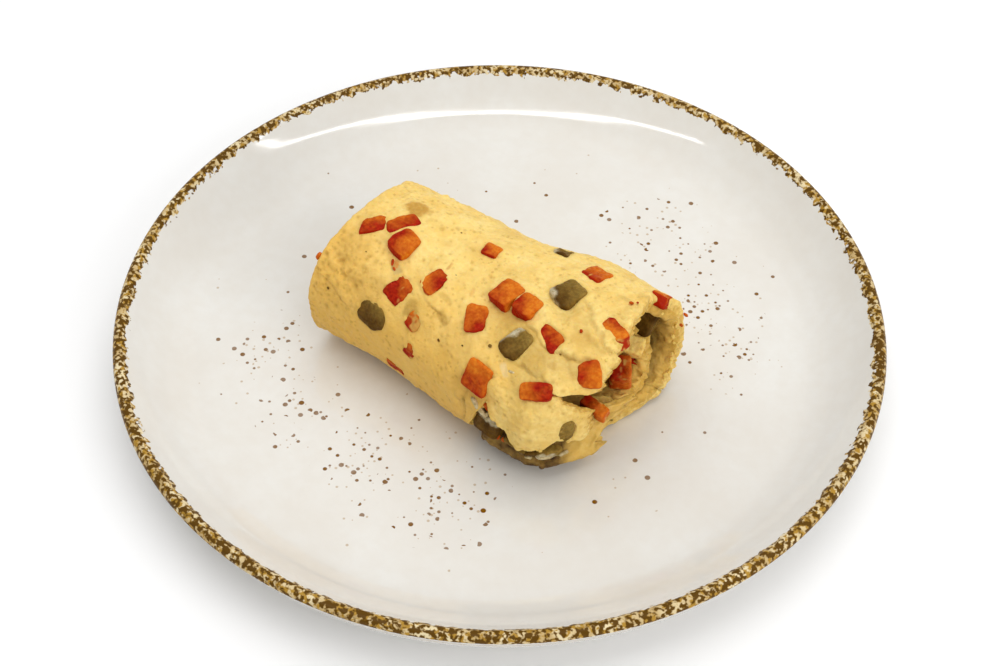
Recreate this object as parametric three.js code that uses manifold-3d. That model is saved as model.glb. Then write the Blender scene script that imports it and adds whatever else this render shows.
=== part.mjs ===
// Vegetable omelette roll lying on its dinner plate. Millimetres, +Z up.
// The origin is the middle of the plate's foot on the table, and +X runs along
// the roll towards its torn, open end.
import * as THREE from 'three';
import { ConvexGeometry } from 'three/addons/geometries/ConvexGeometry.js';
import { mergeVertices } from 'three/addons/utils/BufferGeometryUtils.js';
import Module from 'manifold-3d';

const wasm = await Module();
wasm.setup();
const { clamp, degToRad, smoothstep } = THREE.MathUtils;

// --- driving dimensions ---------------------------------------------------

const plate = {
  radius: 135,
  rimHeight: 22,
  floorTop: 6,
  floorRadius: 107,
  underside: 1.8,
  footInner: 79,
  footOuter: 85,
  footSlope: 1.5,
  lipRadius: 2.3,
  wallCurve: 1.8,      // power of the wall's rise from floor to lip
  segments: 56,
};

const roll = {
  start: -52,          // closed end
  end: 56,             // mean plane of the torn end
  rest: 6.3,           // underside, just clear of the plate's floor
  belly: 0.45,         // share of the height below the widest level
  topRound: 2.3,       // superellipse exponents of the section
  footRound: 2.9,
  // five evenly spaced sections: nearest side, far side and height
  front: [-42.7, -41.1, -42.3, -44.6, -45.5],
  back: [20.6, 24.5, 26.5, 33.8, 29.8],
  height: [46.2, 45.9, 45.8, 47.8, 50.3],
  frontCurl: { from: 42, amount: 0.07 },   // the near side draws in at the torn end
};

const sheet = {
  thickness: 6.6,
  pitch: 7.4,          // one turn's step inwards
  freeEdge: 235,       // side angle of the outer edge: 0 back, 90 top, 180 front
  turned: 902,         // degrees wound from the outer edge to the inner one
  tuck: 0.12,          // share of a turn in which the sheet steps inwards
  stepAngle: 11,
  edgeRound: 1.4,
  // places of the sections along the roll, as shares of its length
  sections: [0, 0.013, 0.16, 0.34, 0.5, 0.64, 0.68, 0.735, 0.8, 0.87, 0.94, 0.984, 1],
};

// where the torn end lies along X, by degrees wound from the outer edge
const tornEnd = [
  [0, 57.6], [30, 57.8], [86, 57.6], [101, 58.3], [116, 58.6], [132, 57.2], [149, 54.5], [163, 53],
  [180, 51.2], [186, 51.2], [193, 55], [200, 56.5], [218, 57.5], [235, 58], [265, 58.5],
  [290, 59], [305, 59.5], [318, 57], [328, 52.5],
  [360, 55.5], [375, 58.2], [395, 58.6], [408, 60.8], [418, 61.2], [424, 57], [432, 49], [458, 40],
  [475, 38], [535, 37], [555, 42], [575, 49], [600, 52], [640, 54], [665, 55], [695, 56.5],
  [720, 53], [735, 42], [760, 34], [902, 30],
];

// the torn end slants: its inner edge lies this far behind the outer one
const tornSlant = { amount: 3, middle: 250, reach: 95 };

// how far the outer edge is torn upwards, in degrees, by place along X
const tornHem = [
  [18, 0], [19.5, 18], [20.5, 35], [24.7, 55], [27.2, 62], [28.3, 70], [31.2, 62], [37.4, 54.6],
  [43.6, 48.6], [47.3, 47.7], [50.2, 49.3], [53, 53.8], [57, 47],
];

// below the torn hem the next turn stays flush with the outside, and tucks in
// only over the last degrees before it passes under the hem
const bared = { from: 18, to: 27, hold: 32, done: 3, swell: 1.5 };

// the second turn stands off the far wall at the open end by this much
const backGape = { amount: 4.2, from: 26, to: 52, middle: 600, reach: 75 };

// tear through the outer turn between the front flap and the top, drawn in the
// outer face round a point of it: X along the roll, Y towards its back
const tear = {
  at: 52, side: 147, deep: 9,
  outline: [
    [-4, 3.2], [-4.2, 2.4], [-2, 1.2], [0.7, -3.8], [2.6, -5.7], [5.6, -8.2], [14, -9.5],
    [14, -1.2], [8.3, -0.3], [4.7, 0.7], [1.3, 2.1], [-1.4, 3.3],
  ],
};

const finest = 0.02;    // edges shorter than this are merged after cutting

const dice = { corner: 0.16, uneven: 0.12, clearance: 0.3, mouth: 3 };

// Vegetable dice in the sheet's outer face: place along X, side angle, length,
// width around the roll, depth, angle turned in the face, and height proud of it.
const carrotDice = [
  { at: -42.8, side: 99.6, long: 8.8, wide: 6, deep: 5, turn: -42, proud: 0.8 },
  { at: -34.6, side: 90.8, long: 5.6, wide: 10, deep: 5, turn: 36, proud: 1 },
  { at: -28.6, side: 102, long: 9.6, wide: 9.8, deep: 6, turn: 18, proud: 2.2 },
  { at: -19.6, side: 131, long: 8, wide: 9.2, deep: 5, turn: 18, proud: 0.3 },
  { at: -10.3, side: 112.6, long: 7, wide: 9.8, deep: 5, turn: 16, proud: 0.8 },
  { at: -8.8, side: 143, long: 6, wide: 6.2, deep: 4, turn: 12, proud: 0.2 },
  { at: -6.4, side: 166, long: 4.8, wide: 5.4, deep: 4, turn: 20, proud: 0.3 },
  { at: -13.2, side: 190, long: 8, wide: 4.4, deep: 5, turn: -4, proud: 0.1 },
  { at: -3.6, side: 80, long: 6.2, wide: 5.4, deep: 4.4, turn: -4, proud: 1.2 },
  { at: 10.3, side: 119, long: 8, wide: 9.6, deep: 5, turn: -26, proud: 0.5 },
  { at: 13.5, side: 98.5, long: 8.2, wide: 10, deep: 6, turn: 14, proud: 2 },
  { at: 22.2, side: 99.6, long: 8.2, wide: 8.4, deep: 6, turn: 12, proud: 1.8 },
  { at: 37.7, side: 109, long: 9.4, wide: 7, deep: 5, turn: 24, proud: 0.2 },
  { at: 22.6, side: 152.4, long: 10.2, wide: 10.4, deep: 6, turn: 4, proud: 1.4 },
  { at: 44, side: 140.4, long: 10.8, wide: 6.4, deep: 5, turn: -14, proud: 0.7 },
  { at: 30.7, side: 64.3, long: 8.2, wide: 8, deep: 5, turn: 10, proud: 0.5 },
  { at: 53.2, side: 45, long: 6.6, wide: 5, deep: 4.6, turn: -6, proud: 0.9 },
  { at: 52.6, side: 92.6, long: 5.4, wide: 10.6, deep: 5, turn: -33, proud: 0.7 },
  { at: 56.4, side: 131.6, long: 6.4, wide: 8.8, deep: 6, turn: 6, proud: 0 },
];

const mushroomDice = [
  { at: -25, side: 159, long: 9.8, wide: 9.4, deep: 5, turn: 24, proud: 0.3 },
  { at: 30.1, side: 86, long: 10.2, wide: 10.4, deep: 6, turn: 15, proud: 1.6 },
  { at: 28.4, side: 121, long: 9.2, wide: 10.8, deep: 6, turn: 14, proud: 1 },
  { at: 54.9, side: 176.6, long: 6.4, wide: 9.6, deep: 4.6, turn: 6, proud: 0.1 },
  { at: 13.6, side: 52, long: 7, wide: 5.4, deep: 5, turn: 12, proud: 0.5 },
  { at: 51.8, side: 199, long: 9.6, wide: 5, deep: 5, turn: 0, proud: -1.2 },
  { at: 41.4, side: 196, long: 6.4, wide: 5, deep: 5, turn: 8, proud: -1.5 },
];

// Dice lying loose in the folds: middle, size and turning about X, Y and Z.
const looseDice = [
  { name: 'carrot', at: [50.4, 2.1, 26], size: [7.6, 8.6, 9.6], tilt: [8, 6, 38] },
  { name: 'carrot', at: [49.5, 12.6, 22], size: [4.8, 4.6, 4.6], tilt: [10, 30, 20] },
  { name: 'carrot', at: [55.8, -19.8, 31.5], size: [9.8, 4.4, 4.8], tilt: [12, 4, -2] },
  { name: 'mushroom', at: [47.4, 20.8, 35.4], size: [7.6, 9.6, 11], tilt: [-32, 8, 12] },
  { name: 'mushroom', at: [28.8, -41.6, 24.2], size: [11.4, 6.2, 8], tilt: [-14, 0, -8] },
  { name: 'egg_chunk', at: [48.4, 11.4, 30], size: [8, 7, 7.2], tilt: [30, 20, 18] },
];

// --- curves ----------------------------------------------------------------

// value at x on the straight stretches between the given [x, value] pairs
function between(pairs, x) {
  const next = pairs.findIndex((pair) => pair[0] >= x);
  if (next === 0) return pairs[0][1];
  if (next < 0) return pairs[pairs.length - 1][1];
  const [x0, value0] = pairs[next - 1];
  const [x1, value1] = pairs[next];
  return value0 + (value1 - value0) * (x - x0) / (x1 - x0);
}

// smooth curve through evenly spaced stations, u from 0 to 1
function throughStations(stations, u) {
  const last = stations.length - 1;
  const place = clamp(u, 0, 1) * last;
  const i = Math.min(Math.floor(place), last - 1);
  const t = place - i;
  const [a, b, c, d] = [-1, 0, 1, 2].map((k) => stations[clamp(i + k, 0, last)]);
  return b + 0.5 * t * (c - a + t * (2 * a - 5 * b + 4 * c - d + t * (3 * (b - c) + d - a)));
}

// one at the middle, falling smoothly to nothing at a distance of reach
function hump(value, middle, reach) {
  return 1 - smoothstep(Math.abs(value - middle), 0, reach);
}

// point of the roll's section at x, at a side angle, a depth below the skin
function rollPoint(x, side, depth) {
  const u = (x - roll.start) / (roll.end - roll.start);
  const curl = roll.frontCurl.amount * Math.max(0, x - roll.frontCurl.from) ** 2;
  const front = throughStations(roll.front, u) + curl;
  const back = throughStations(roll.back, u);
  const height = throughStations(roll.height, u);
  const cos = Math.cos(degToRad(side));
  const sin = Math.sin(degToRad(side));
  const above = sin >= 0;
  const power = 2 / (above ? roll.topRound : roll.footRound);
  const reachY = (back - front) / 2 - depth;
  const reachZ = height * (above ? 1 - roll.belly : roll.belly) - depth;
  const y = (front + back) / 2 + Math.sign(cos) * Math.abs(cos) ** power * reachY;
  const z = roll.rest + height * roll.belly + Math.sign(sin) * Math.abs(sin) ** power * reachZ;
  return new THREE.Vector3(x, y, z);
}

// depth of the wound sheet's outer face: flush over a turn, then a step inwards
function woundDepth(turned, x) {
  const turn = Math.floor(turned / 360);
  const step = smoothstep(turned / 360 - turn, 1 - sheet.tuck, 1);
  const depth = sheet.pitch * (turn + step);
  const pastHem = turned - 360 - between(tornHem, x);
  const shown = smoothstep(x, bared.from, bared.to) * (1 - smoothstep(pastHem, -bared.hold, -bared.done));
  const swell = bared.swell * hump(turned, 385, 30);
  const gape = backGape.amount * smoothstep(x, backGape.from, backGape.to)
    * hump(turned, backGape.middle, backGape.reach);
  return depth - shown * (Math.min(depth, sheet.pitch) + swell) + gape;
}

// --- solids ------------------------------------------------------------------

function toSolid(geometry) {
  const bare = geometry.clone();
  bare.deleteAttribute('normal');
  bare.deleteAttribute('uv');
  const merged = mergeVertices(bare, 1e-4);
  return new wasm.Manifold(new wasm.Mesh({
    numProp: 3,
    vertProperties: new Float32Array(merged.attributes.position.array),
    triVerts: new Uint32Array(merged.index.array),
  }));
}

function toGeometry(solid) {
  const { vertProperties, triVerts } = solid.getMesh();
  const geometry = new THREE.BufferGeometry();
  geometry.setAttribute('position', new THREE.BufferAttribute(vertProperties, 3));
  geometry.setIndex(new THREE.BufferAttribute(triVerts, 1));
  geometry.computeVertexNormals();
  return geometry;
}

function largestPiece(solid) {
  return solid.decompose().sort((a, b) => b.volume() - a.volume())[0];
}

// --- plate ---------------------------------------------------------------------

function plateGeometry() {
  const lipMiddle = new THREE.Vector2(plate.radius - plate.lipRadius, plate.rimHeight - plate.lipRadius);
  const wallRise = (share, low, high) => low + (high - low) * share ** plate.wallCurve;
  const steps = 5;
  const points = [
    new THREE.Vector2(0, plate.underside),
    new THREE.Vector2(plate.footInner - plate.footSlope, plate.underside),
    new THREE.Vector2(plate.footInner, 0),
    new THREE.Vector2(plate.footOuter, 0),
    new THREE.Vector2(plate.footOuter + plate.footSlope, plate.underside),
  ];
  for (let i = 0; i < steps; i += 1) {
    const share = i / steps;
    const radius = plate.floorRadius + 2 + (plate.radius - plate.floorRadius - 2) * share;
    points.push(new THREE.Vector2(radius, wallRise(share, plate.underside, lipMiddle.y)));
  }
  for (let angle = 0; angle <= 135; angle += 33.75) {
    const turn = degToRad(angle);
    points.push(new THREE.Vector2(Math.cos(turn), Math.sin(turn)).multiplyScalar(plate.lipRadius).add(lipMiddle));
  }
  for (let i = steps - 1; i >= 0; i -= 1) {
    const share = i / steps;
    const radius = plate.floorRadius + (lipMiddle.x - plate.lipRadius - plate.floorRadius) * share;
    points.push(new THREE.Vector2(radius, wallRise(share, plate.floorTop, lipMiddle.y + 1)));
  }
  points.push(new THREE.Vector2(0, plate.floorTop));
  return new THREE.LatheGeometry(points, plate.segments).rotateX(Math.PI / 2);
}

// --- wound egg sheet -----------------------------------------------------------

// One slab section: the outer face's points from edge to edge, then the inner
// face's points back again. The slab thins towards its ends to round them.
function slabSection(share) {
  const outer = [];
  const inner = [];
  const last = sheet.sections.length - 1;
  const index = sheet.sections.indexOf(share);
  const thinned = index === 0 || index === last ? sheet.edgeRound : 0;
  for (let wound = 0; wound <= sheet.turned; wound += sheet.stepAngle) {
    const end = between(tornEnd, wound);
    const slant = tornSlant.amount * hump(wound, tornSlant.middle, tornSlant.reach);
    const x = roll.start + (end - roll.start) * share;
    const lift = between(tornHem, x) * Math.max(0, 1 - wound / 100);
    const turned = wound + lift;
    const edge = wound === 0 || wound === sheet.turned ? sheet.edgeRound : 0;
    const pinch = Math.max(thinned, edge);
    const depth = woundDepth(turned, x);
    outer.push(rollPoint(x, sheet.freeEdge - turned, depth + pinch));
    inner.push(rollPoint(x - slant * share, sheet.freeEdge - turned, depth + sheet.thickness - pinch));
  }
  return [...outer, ...inner.reverse()];
}

function woundSheetGeometry() {
  const sections = sheet.sections.map(slabSection);
  const around = sections[0].length;
  const rows = around / 2;
  const index = [];
  const quad = (a, b, c, d) => index.push(a, c, b, a, d, c);
  for (let s = 0; s < sections.length - 1; s += 1) {
    for (let k = 0; k < around; k += 1) {
      const next = (k + 1) % around;
      quad(s * around + k, s * around + next, (s + 1) * around + next, (s + 1) * around + k);
    }
  }
  const lastRow = (sections.length - 1) * around;
  for (let i = 0; i < rows - 1; i += 1) {
    const back = around - 1 - i;
    quad(i, back, back - 1, i + 1);
    quad(lastRow + i, lastRow + i + 1, lastRow + back - 1, lastRow + back);
  }
  const geometry = new THREE.BufferGeometry().setFromPoints(sections.flat());
  geometry.setIndex(index);
  return geometry;
}

// --- dice ------------------------------------------------------------------------

// hand-cut dice: a block with clipped corners, each pulled in by its own amount
function dieGeometry(long, wide, deep, number) {
  const points = [];
  for (let corner = 0; corner < 8; corner += 1) {
    const signs = [corner & 1, corner & 2, corner & 4].map((bit) => (bit ? 1 : -1));
    const half = [long, wide, deep].map((size, axis) => {
      const shift = 0.5 + 0.5 * Math.sin(12.9 * number + 7.3 * corner + 4.1 * axis);
      return signs[axis] * size / 2 * (1 - dice.uneven * shift);
    });
    for (let axis = 0; axis < 3; axis += 1) {
      const clipped = half.map((value, i) => (i === axis ? value * (1 - 2 * dice.corner) : value));
      points.push(new THREE.Vector3(...clipped));
    }
  }
  return new ConvexGeometry(points);
}

// frame set in the outer face: X along the roll, Y towards its back, Z outwards
function skinFrame({ at, side, turn }) {
  const step = 0.5;
  const middle = rollPoint(at, side, 0);
  const forward = rollPoint(at + step, side, 0).sub(middle).normalize();
  const around = rollPoint(at, side + step, 0).sub(middle).normalize();
  const outward = new THREE.Vector3().crossVectors(around, forward).normalize();
  const backward = new THREE.Vector3().crossVectors(outward, forward);
  const frame = new THREE.Matrix4().makeBasis(forward, backward, outward);
  return frame.setPosition(middle).multiply(new THREE.Matrix4().makeRotationZ(degToRad(-turn)));
}

function dieFrame(die) {
  return skinFrame(die).multiply(new THREE.Matrix4().makeTranslation(0, 0, die.proud - die.deep / 2));
}

function looseFrame({ at, tilt }) {
  const frame = new THREE.Matrix4().makeRotationFromEuler(new THREE.Euler(...tilt.map(degToRad)));
  return frame.setPosition(...at);
}

// hollow for a die: a block a little larger all round, open towards the outside
function pocket(long, wide, deep, mouth, frame) {
  const slack = 2 * dice.clearance;
  const block = new THREE.BoxGeometry(long + slack, wide + slack, deep + slack + mouth);
  block.translate(0, 0, mouth / 2);
  return toSolid(block.applyMatrix4(frame));
}

function tearSolid() {
  const wedge = new THREE.Shape(tear.outline.map(([along, back]) => new THREE.Vector2(along, back)));
  const cutter = new THREE.ExtrudeGeometry(wedge, { depth: tear.deep, bevelEnabled: false });
  cutter.translate(0, 0, dice.mouth - tear.deep);
  return toSolid(cutter.applyMatrix4(skinFrame({ ...tear, turn: 0 })));
}

// --- materials --------------------------------------------------------------------

function material(color, roughness) {
  return new THREE.MeshStandardMaterial({ color, roughness, metalness: 0 });
}

const glaze = material(0xece7dd, 0.2);
const egg = material(0xf0d080, 0.75);
const carrot = material(0xd2691e, 0.5);
const mushroom = material(0x78602c, 0.6);

// --- assembly ---------------------------------------------------------------------

const omeletteRoll = new THREE.Group();

function addMesh(name, geometry, look) {
  const mesh = new THREE.Mesh(geometry, look);
  mesh.name = name;
  omeletteRoll.add(mesh);
}

function twoDigits(number) {
  return String(number).padStart(2, '0');
}

const pockets = [tearSolid()];
const counts = { carrot: 0, mushroom: 0, egg_chunk: 0 };
const looks = { carrot, mushroom, egg_chunk: egg };
let dieNumber = 0;

function addDie(kind, [long, wide, deep], frame, mouth) {
  dieNumber += 1;
  counts[kind] += 1;
  pockets.push(pocket(long, wide, deep, mouth, frame));
  const geometry = dieGeometry(long, wide, deep, dieNumber).applyMatrix4(frame);
  addMesh(`${kind}_${twoDigits(counts[kind])}`, geometry, looks[kind]);
}

addMesh('plate', plateGeometry(), glaze);
for (const die of carrotDice) addDie('carrot', [die.long, die.wide, die.deep], dieFrame(die), dice.mouth);
for (const die of mushroomDice) addDie('mushroom', [die.long, die.wide, die.deep], dieFrame(die), dice.mouth);
for (const die of looseDice) addDie(die.name, die.size, looseFrame(die), 0);

const cutSheet = pockets.reduce((solid, hollow) => solid.subtract(hollow), toSolid(woundSheetGeometry()));
addMesh('egg_sheet', toGeometry(largestPiece(cutSheet).simplify(finest)), egg);

export default omeletteRoll;
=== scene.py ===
import bmesh
import bpy
import numpy as np
from mathutils import Matrix, Vector


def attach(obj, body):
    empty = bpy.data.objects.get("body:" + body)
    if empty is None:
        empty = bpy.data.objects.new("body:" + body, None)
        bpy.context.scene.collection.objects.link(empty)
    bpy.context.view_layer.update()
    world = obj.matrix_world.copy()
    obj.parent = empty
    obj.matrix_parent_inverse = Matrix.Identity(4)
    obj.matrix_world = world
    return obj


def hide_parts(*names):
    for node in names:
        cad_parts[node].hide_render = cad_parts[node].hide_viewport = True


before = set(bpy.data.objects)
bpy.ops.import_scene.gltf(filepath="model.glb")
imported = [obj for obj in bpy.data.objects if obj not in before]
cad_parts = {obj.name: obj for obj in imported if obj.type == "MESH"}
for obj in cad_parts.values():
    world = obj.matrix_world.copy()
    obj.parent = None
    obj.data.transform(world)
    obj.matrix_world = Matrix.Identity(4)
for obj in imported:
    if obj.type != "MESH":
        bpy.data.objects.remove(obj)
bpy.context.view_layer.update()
metre = 0.001                      # one table unit
weldReach = 1e-5                   # in metres


def ramp(value, low, high):
    # 0 up to low, 1 from high on, an even S between them
    share = np.clip((value - low) / (high - low), 0, 1)
    return share * share * (3 - 2 * share)


def hump(value, middle, reach):
    # 1 at the middle, falling smoothly to 0 at a distance of reach
    return 1 - ramp(np.abs(value - middle), 0, reach)


def straight(pairs, value):
    # straight stretches between [place, value] pairs
    places, values = np.array(pairs, float).T
    return np.interp(value, places, values)


def bulge(value, power):
    # signed power: the sign of value times |value| ^ power
    return np.sign(value) * np.abs(value) ** power


def unitLength(vector):
    # the same direction, one long
    return vector / np.linalg.norm(vector, axis=-1, keepdims=True)


def lengthAlong(points):
    # distance walked along a line of points, 0 at the first
    return np.concatenate([[0], np.cumsum(np.linalg.norm(np.diff(points, axis=0), axis=1))])


def carryRing(out, up, ring):
    # a flat ring carried along a profile: scaled by out and lifted by up at every step
    across = out[:, None, None] * ring
    return np.concatenate([across, np.broadcast_to(up[:, None, None], across[..., :1].shape)], axis=-1)


def throughStations(stations, share):
    # Catmull-Rom curve through evenly spaced stations, share from 0 to 1
    last = len(stations) - 1
    place = np.clip(share, 0, 1) * last
    before = np.minimum(np.floor(place), last - 1).astype(int)
    t = place - before
    known = np.array(stations, float)
    a, b, c, d = (known[np.clip(before + k, 0, last)] for k in (-1, 0, 1, 2))
    return b + 0.5 * t * (c - a + t * (2 * a - 5 * b + 4 * c - d + t * (3 * (b - c) + d - a)))


def softNoise(points, period, seed):
    # value noise from -1 to 1: hashed values at whole lattice corners, blended
    # along X, Y and Z with the curve t*t*t*(t*(6t-15)+10)
    place = np.asarray(points, float) / period + 0.37 * seed
    corner = np.floor(place).astype(np.int64)
    t = place - corner
    blend = t ** 3 * (t * (6 * t - 15) + 10)
    total = np.zeros(place.shape[:-1])
    for bits in np.ndindex(2, 2, 2):
        cell = corner + np.array(bits)
        mixed = cell[..., 0] * 374761393 + cell[..., 1] * 668265263 + cell[..., 2] * 974634777
        mixed = (mixed + seed * 362437) & 0xFFFFFFFF
        mixed = ((mixed ^ (mixed >> 13)) * 1274126177) & 0xFFFFFFFF
        mixed = mixed ^ (mixed >> 16)
        share = np.prod([blend[..., k] if bits[k] else 1 - blend[..., k] for k in range(3)], axis=0)
        total += share * (mixed / 0x7FFFFFFF - 1)
    return total


def layeredNoise(points, period, seed, layers=3):
    # softNoise summed at ever halved periods and heights
    return sum(softNoise(points, period / 2 ** k, seed + 7 * k) / 2 ** k for k in range(layers))


# the roll's section and winding

roll = {
    "start": -52, "end": 56,       # closed end, mean plane of the torn end
    "rest": 6.3,                   # underside, just clear of the plate's floor
    "belly": 0.45,                 # share of the height below the widest level
    "topRound": 2.3, "footRound": 2.9,
    "front": [-42.7, -41.1, -42.3, -44.6, -45.5],
    "back": [20.6, 24.5, 26.5, 33.8, 29.8],
    "height": [46.2, 45.9, 45.8, 47.8, 50.3],
    "curlFrom": 42, "curl": 0.07,  # the near side draws in at the torn end
}

sheet = {
    "thickness": 6.6, "pitch": 7.4, "freeEdge": 235, "turned": 902, "tuck": 0.12,
    "split": 300,                  # degrees wound where skin and core pieces meet
    "long": 110,                   # about how long the roll is
    "edge": 1.4,                   # rounding of the torn edges
    "lumpPeriods": (5, 2.1), "holePeriod": 2.0, "hole": 0.8,              # the inner turns
    "crumblePeriods": (2.2, 1.1),  # the torn edges
    "meet": 0.48,                  # depth share where the outer and the inner face meet
    "arc": 0.55,                   # about how many millimetres a degree is at the outside
    "ragged": 0.9, "raggedHem": 1.8,
}

# where the torn end lies along X, by degrees wound from the outer edge
tornEnd = [
    [0, 57.6], [30, 57.8], [86, 57.6], [101, 58.3], [116, 58.6], [132, 57.2], [149, 54.5],
    [163, 53], [180, 51.2], [186, 51.2], [193, 55], [200, 56.5], [218, 57.5], [235, 58],
    [265, 58.5], [290, 59], [305, 59.5], [318, 57], [328, 52.5], [360, 55.5], [375, 58.2],
    [395, 58.6], [408, 60.8], [418, 61.2], [424, 57], [432, 49], [458, 40], [475, 38], [535, 37],
    [555, 42], [575, 49], [600, 52], [640, 54], [665, 55], [695, 56.5], [720, 53], [735, 42],
    [760, 34], [902, 30],
]

# the tear between the front flap and the top: how far back it leaves the flap's end, and how far
# the top's lower lip sags over it, by place along X
tear = {
    "low": 90.3, "high": 91,
    "flap": [[36, 0], [41, -1.3], [51, -3], [59.4, -4.4], [72, -6.2], [83, -7.8], [88, -9.4],
             [90.3, -9.4], [91, 0]],
    "sag": [[48, 0], [49, 0.6], [52, 3.4], [54.5, 6.6], [56.6, 8.8], [60, 10]], "reach": 30,
    "from": 34,
}

# the torn end slants: its inner edge lies this far behind the outer one
tornSlant = {"amount": 3, "middle": 250, "reach": 95}

# how far the outer edge is torn upwards, in degrees, by place along X
tornHem = [
    [18, 0], [19.5, 18], [20.5, 35], [24.7, 55], [27.2, 62], [28.3, 70], [31.2, 62], [37.4, 54.6],
    [43.6, 48.6], [47.3, 47.7], [50.2, 49.3], [53, 53.8], [57, 47],
]

# below the torn hem the next turn stays flush with the outside
bared = {"from": 18, "to": 27, "hold": 32, "done": 3, "swell": 1.5, "swellAt": 385, "swellReach": 30}

# the second turn stands off the far wall at the open end
backGape = {"amount": 4.2, "from": 26, "to": 52, "middle": 600, "reach": 75}


def rollPoint(x, side, depth):
    # superellipse section at x; side 0 back, 90 top, 180 front; depth shrinks both half axes
    x, side, depth = np.broadcast_arrays(x, side, depth)
    share = (x - roll["start"]) / (roll["end"] - roll["start"])
    curl = roll["curl"] * np.maximum(0, x - roll["curlFrom"]) ** 2
    front = throughStations(roll["front"], share) + curl
    back = throughStations(roll["back"], share)
    height = throughStations(roll["height"], share)
    cos, sin = np.cos(np.radians(side)), np.sin(np.radians(side))
    above = sin >= 0
    power = 2 / np.where(above, roll["topRound"], roll["footRound"])
    reachY = (back - front) / 2 - depth
    reachZ = height * np.where(above, 1 - roll["belly"], roll["belly"]) - depth
    y = (front + back) / 2 + bulge(cos, power) * reachY
    z = roll["rest"] + height * roll["belly"] + bulge(sin, power) * reachZ
    return np.stack([x, y, z], axis=-1)


def woundDepth(turned, x):
    # flush over most of a turn, then one pitch inwards; flush again below the torn hem
    turn = np.floor(turned / 360)
    step = ramp(turned / 360 - turn, 1 - sheet["tuck"], 1)
    depth = sheet["pitch"] * (turn + step)
    pastHem = turned - 360 - straight(tornHem, x)
    shown = ramp(x, bared["from"], bared["to"]) * (1 - ramp(pastHem, -bared["hold"], -bared["done"]))
    swell = bared["swell"] * hump(turned, bared["swellAt"], bared["swellReach"])
    gape = backGape["amount"] * ramp(x, backGape["from"], backGape["to"])
    gape = gape * hump(turned, backGape["middle"], backGape["reach"])
    return depth - shown * (np.minimum(depth, sheet["pitch"]) + swell) + gape


def skinFrame(x, side, turn=0):
    # middle and axes of a frame in the outer face: X along the roll, Y to its back, Z out
    nudge = 0.5                    # millimetres along, degrees around
    middle = rollPoint(x, side, 0)
    forward = unitLength(rollPoint(np.add(x, nudge), side, 0) - middle)
    around = rollPoint(x, np.add(side, nudge), 0) - middle
    outward = unitLength(np.cross(around, forward))
    backward = np.cross(outward, forward)
    cos, sin = np.cos(np.radians(turn)), np.sin(np.radians(turn))
    cos, sin = np.expand_dims(cos, -1), np.expand_dims(sin, -1)
    axes = [cos * forward - sin * backward, sin * forward + cos * backward, outward]
    return middle, np.stack(axes, axis=-2)


# tone: 0 light orange, 1 deep red; film: share of the top under egg; lap: how far egg laps over
skinDice = {
    "carrot": [
        # at, side, long, wide, deep, turn, proud, tone, film, lap
        (-42.8, 99.6, 8.8, 6, 5, -42, 0.8, 0.78, 0.0, 0.2),
        (-35, 91.2, 6.8, 12, 5, 34, 1, 0.7, 0.0, 0.1),
        (-28.6, 102, 9.6, 9.8, 6, 18, 2.2, 0.55, 0.0, 0.0),
        (-19.6, 131, 8, 9.2, 5, 18, 0.3, 0.95, 0.05, 0.7),
        (-10.3, 112.6, 7, 9.8, 5, 16, 0.8, 0.55, 0.1, 0.4),
        (-8.8, 143, 6, 6.2, 4, 12, 0.2, 0.5, 0.5, 0.8),
        (-6.4, 166, 4.8, 5.4, 4, 20, 0.3, 0.9, 0.2, 0.8),
        (-13.2, 190, 8, 4.4, 5, -4, 0.1, 0.7, 0.2, 0.4),
        (-3.6, 80, 6.2, 5.4, 4.4, -4, 1.2, 0.25, 0.0, 0.1),
        (10.3, 119, 8, 9.6, 5, -26, 0.5, 0.42, 0.0, 0.2),
        (13.4, 98.4, 8.8, 10.6, 6, 14, 1.9, 0.2, 0.0, 0.0),
        (22.6, 99.8, 8.8, 9, 6, 12, 1.7, 0.35, 0.0, 0.1),
        (36.9, 108, 11.8, 8.8, 5, 20, 0.2, 0.85, 0.0, 0.15),
        (22.6, 152.4, 10.2, 10.4, 6, 4, 1.4, 0.42, 0.0, 0.1),
        (44, 140.4, 10.8, 6.4, 5, -14, 0.7, 0.55, 0.0, 0.2),
        (30.7, 64.3, 8.2, 8, 5, 10, 0.5, 0.3, 0.12, 0.3),
        (52.0, 43.5, 5.8, 4.8, 4.6, -6, 0.6, 0.35, 0.0, 0.2),
        (52.6, 92.6, 5.4, 10.6, 5, -33, -0.1, 0.3, 0.15, 0.6),
        (55.6, 131.6, 7.8, 9.8, 6, 6, 0, 0.5, 0.05, 0.9),
    ],
    "mushroom": [
        (-25, 159, 12.4, 9.6, 5, 6, 0.3, 0.9, 0.0, 0.25),
        (30.1, 86, 10.2, 10.4, 6, 15, 1.6, 0.6, 0.0, 0.1),
        (28.4, 121, 9.2, 10.8, 6, 14, 1, 0.65, 0.0, 0.2),
        (54.9, 176.6, 6.4, 9.6, 4.6, 6, 0.1, 0.3, 0.2, 0.2),
        (13.6, 52, 7, 5.4, 5, 12, 0.5, 0.6, 0.0, 0.2),
        (51.8, 199, 9.6, 5, 5, 0, -1.2, 0.4, 0.0, 0.0),
        (41.4, 196, 6.4, 5, 5, 8, -1.5, 0.8, 0.0, 0.0),
    ],
}

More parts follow.
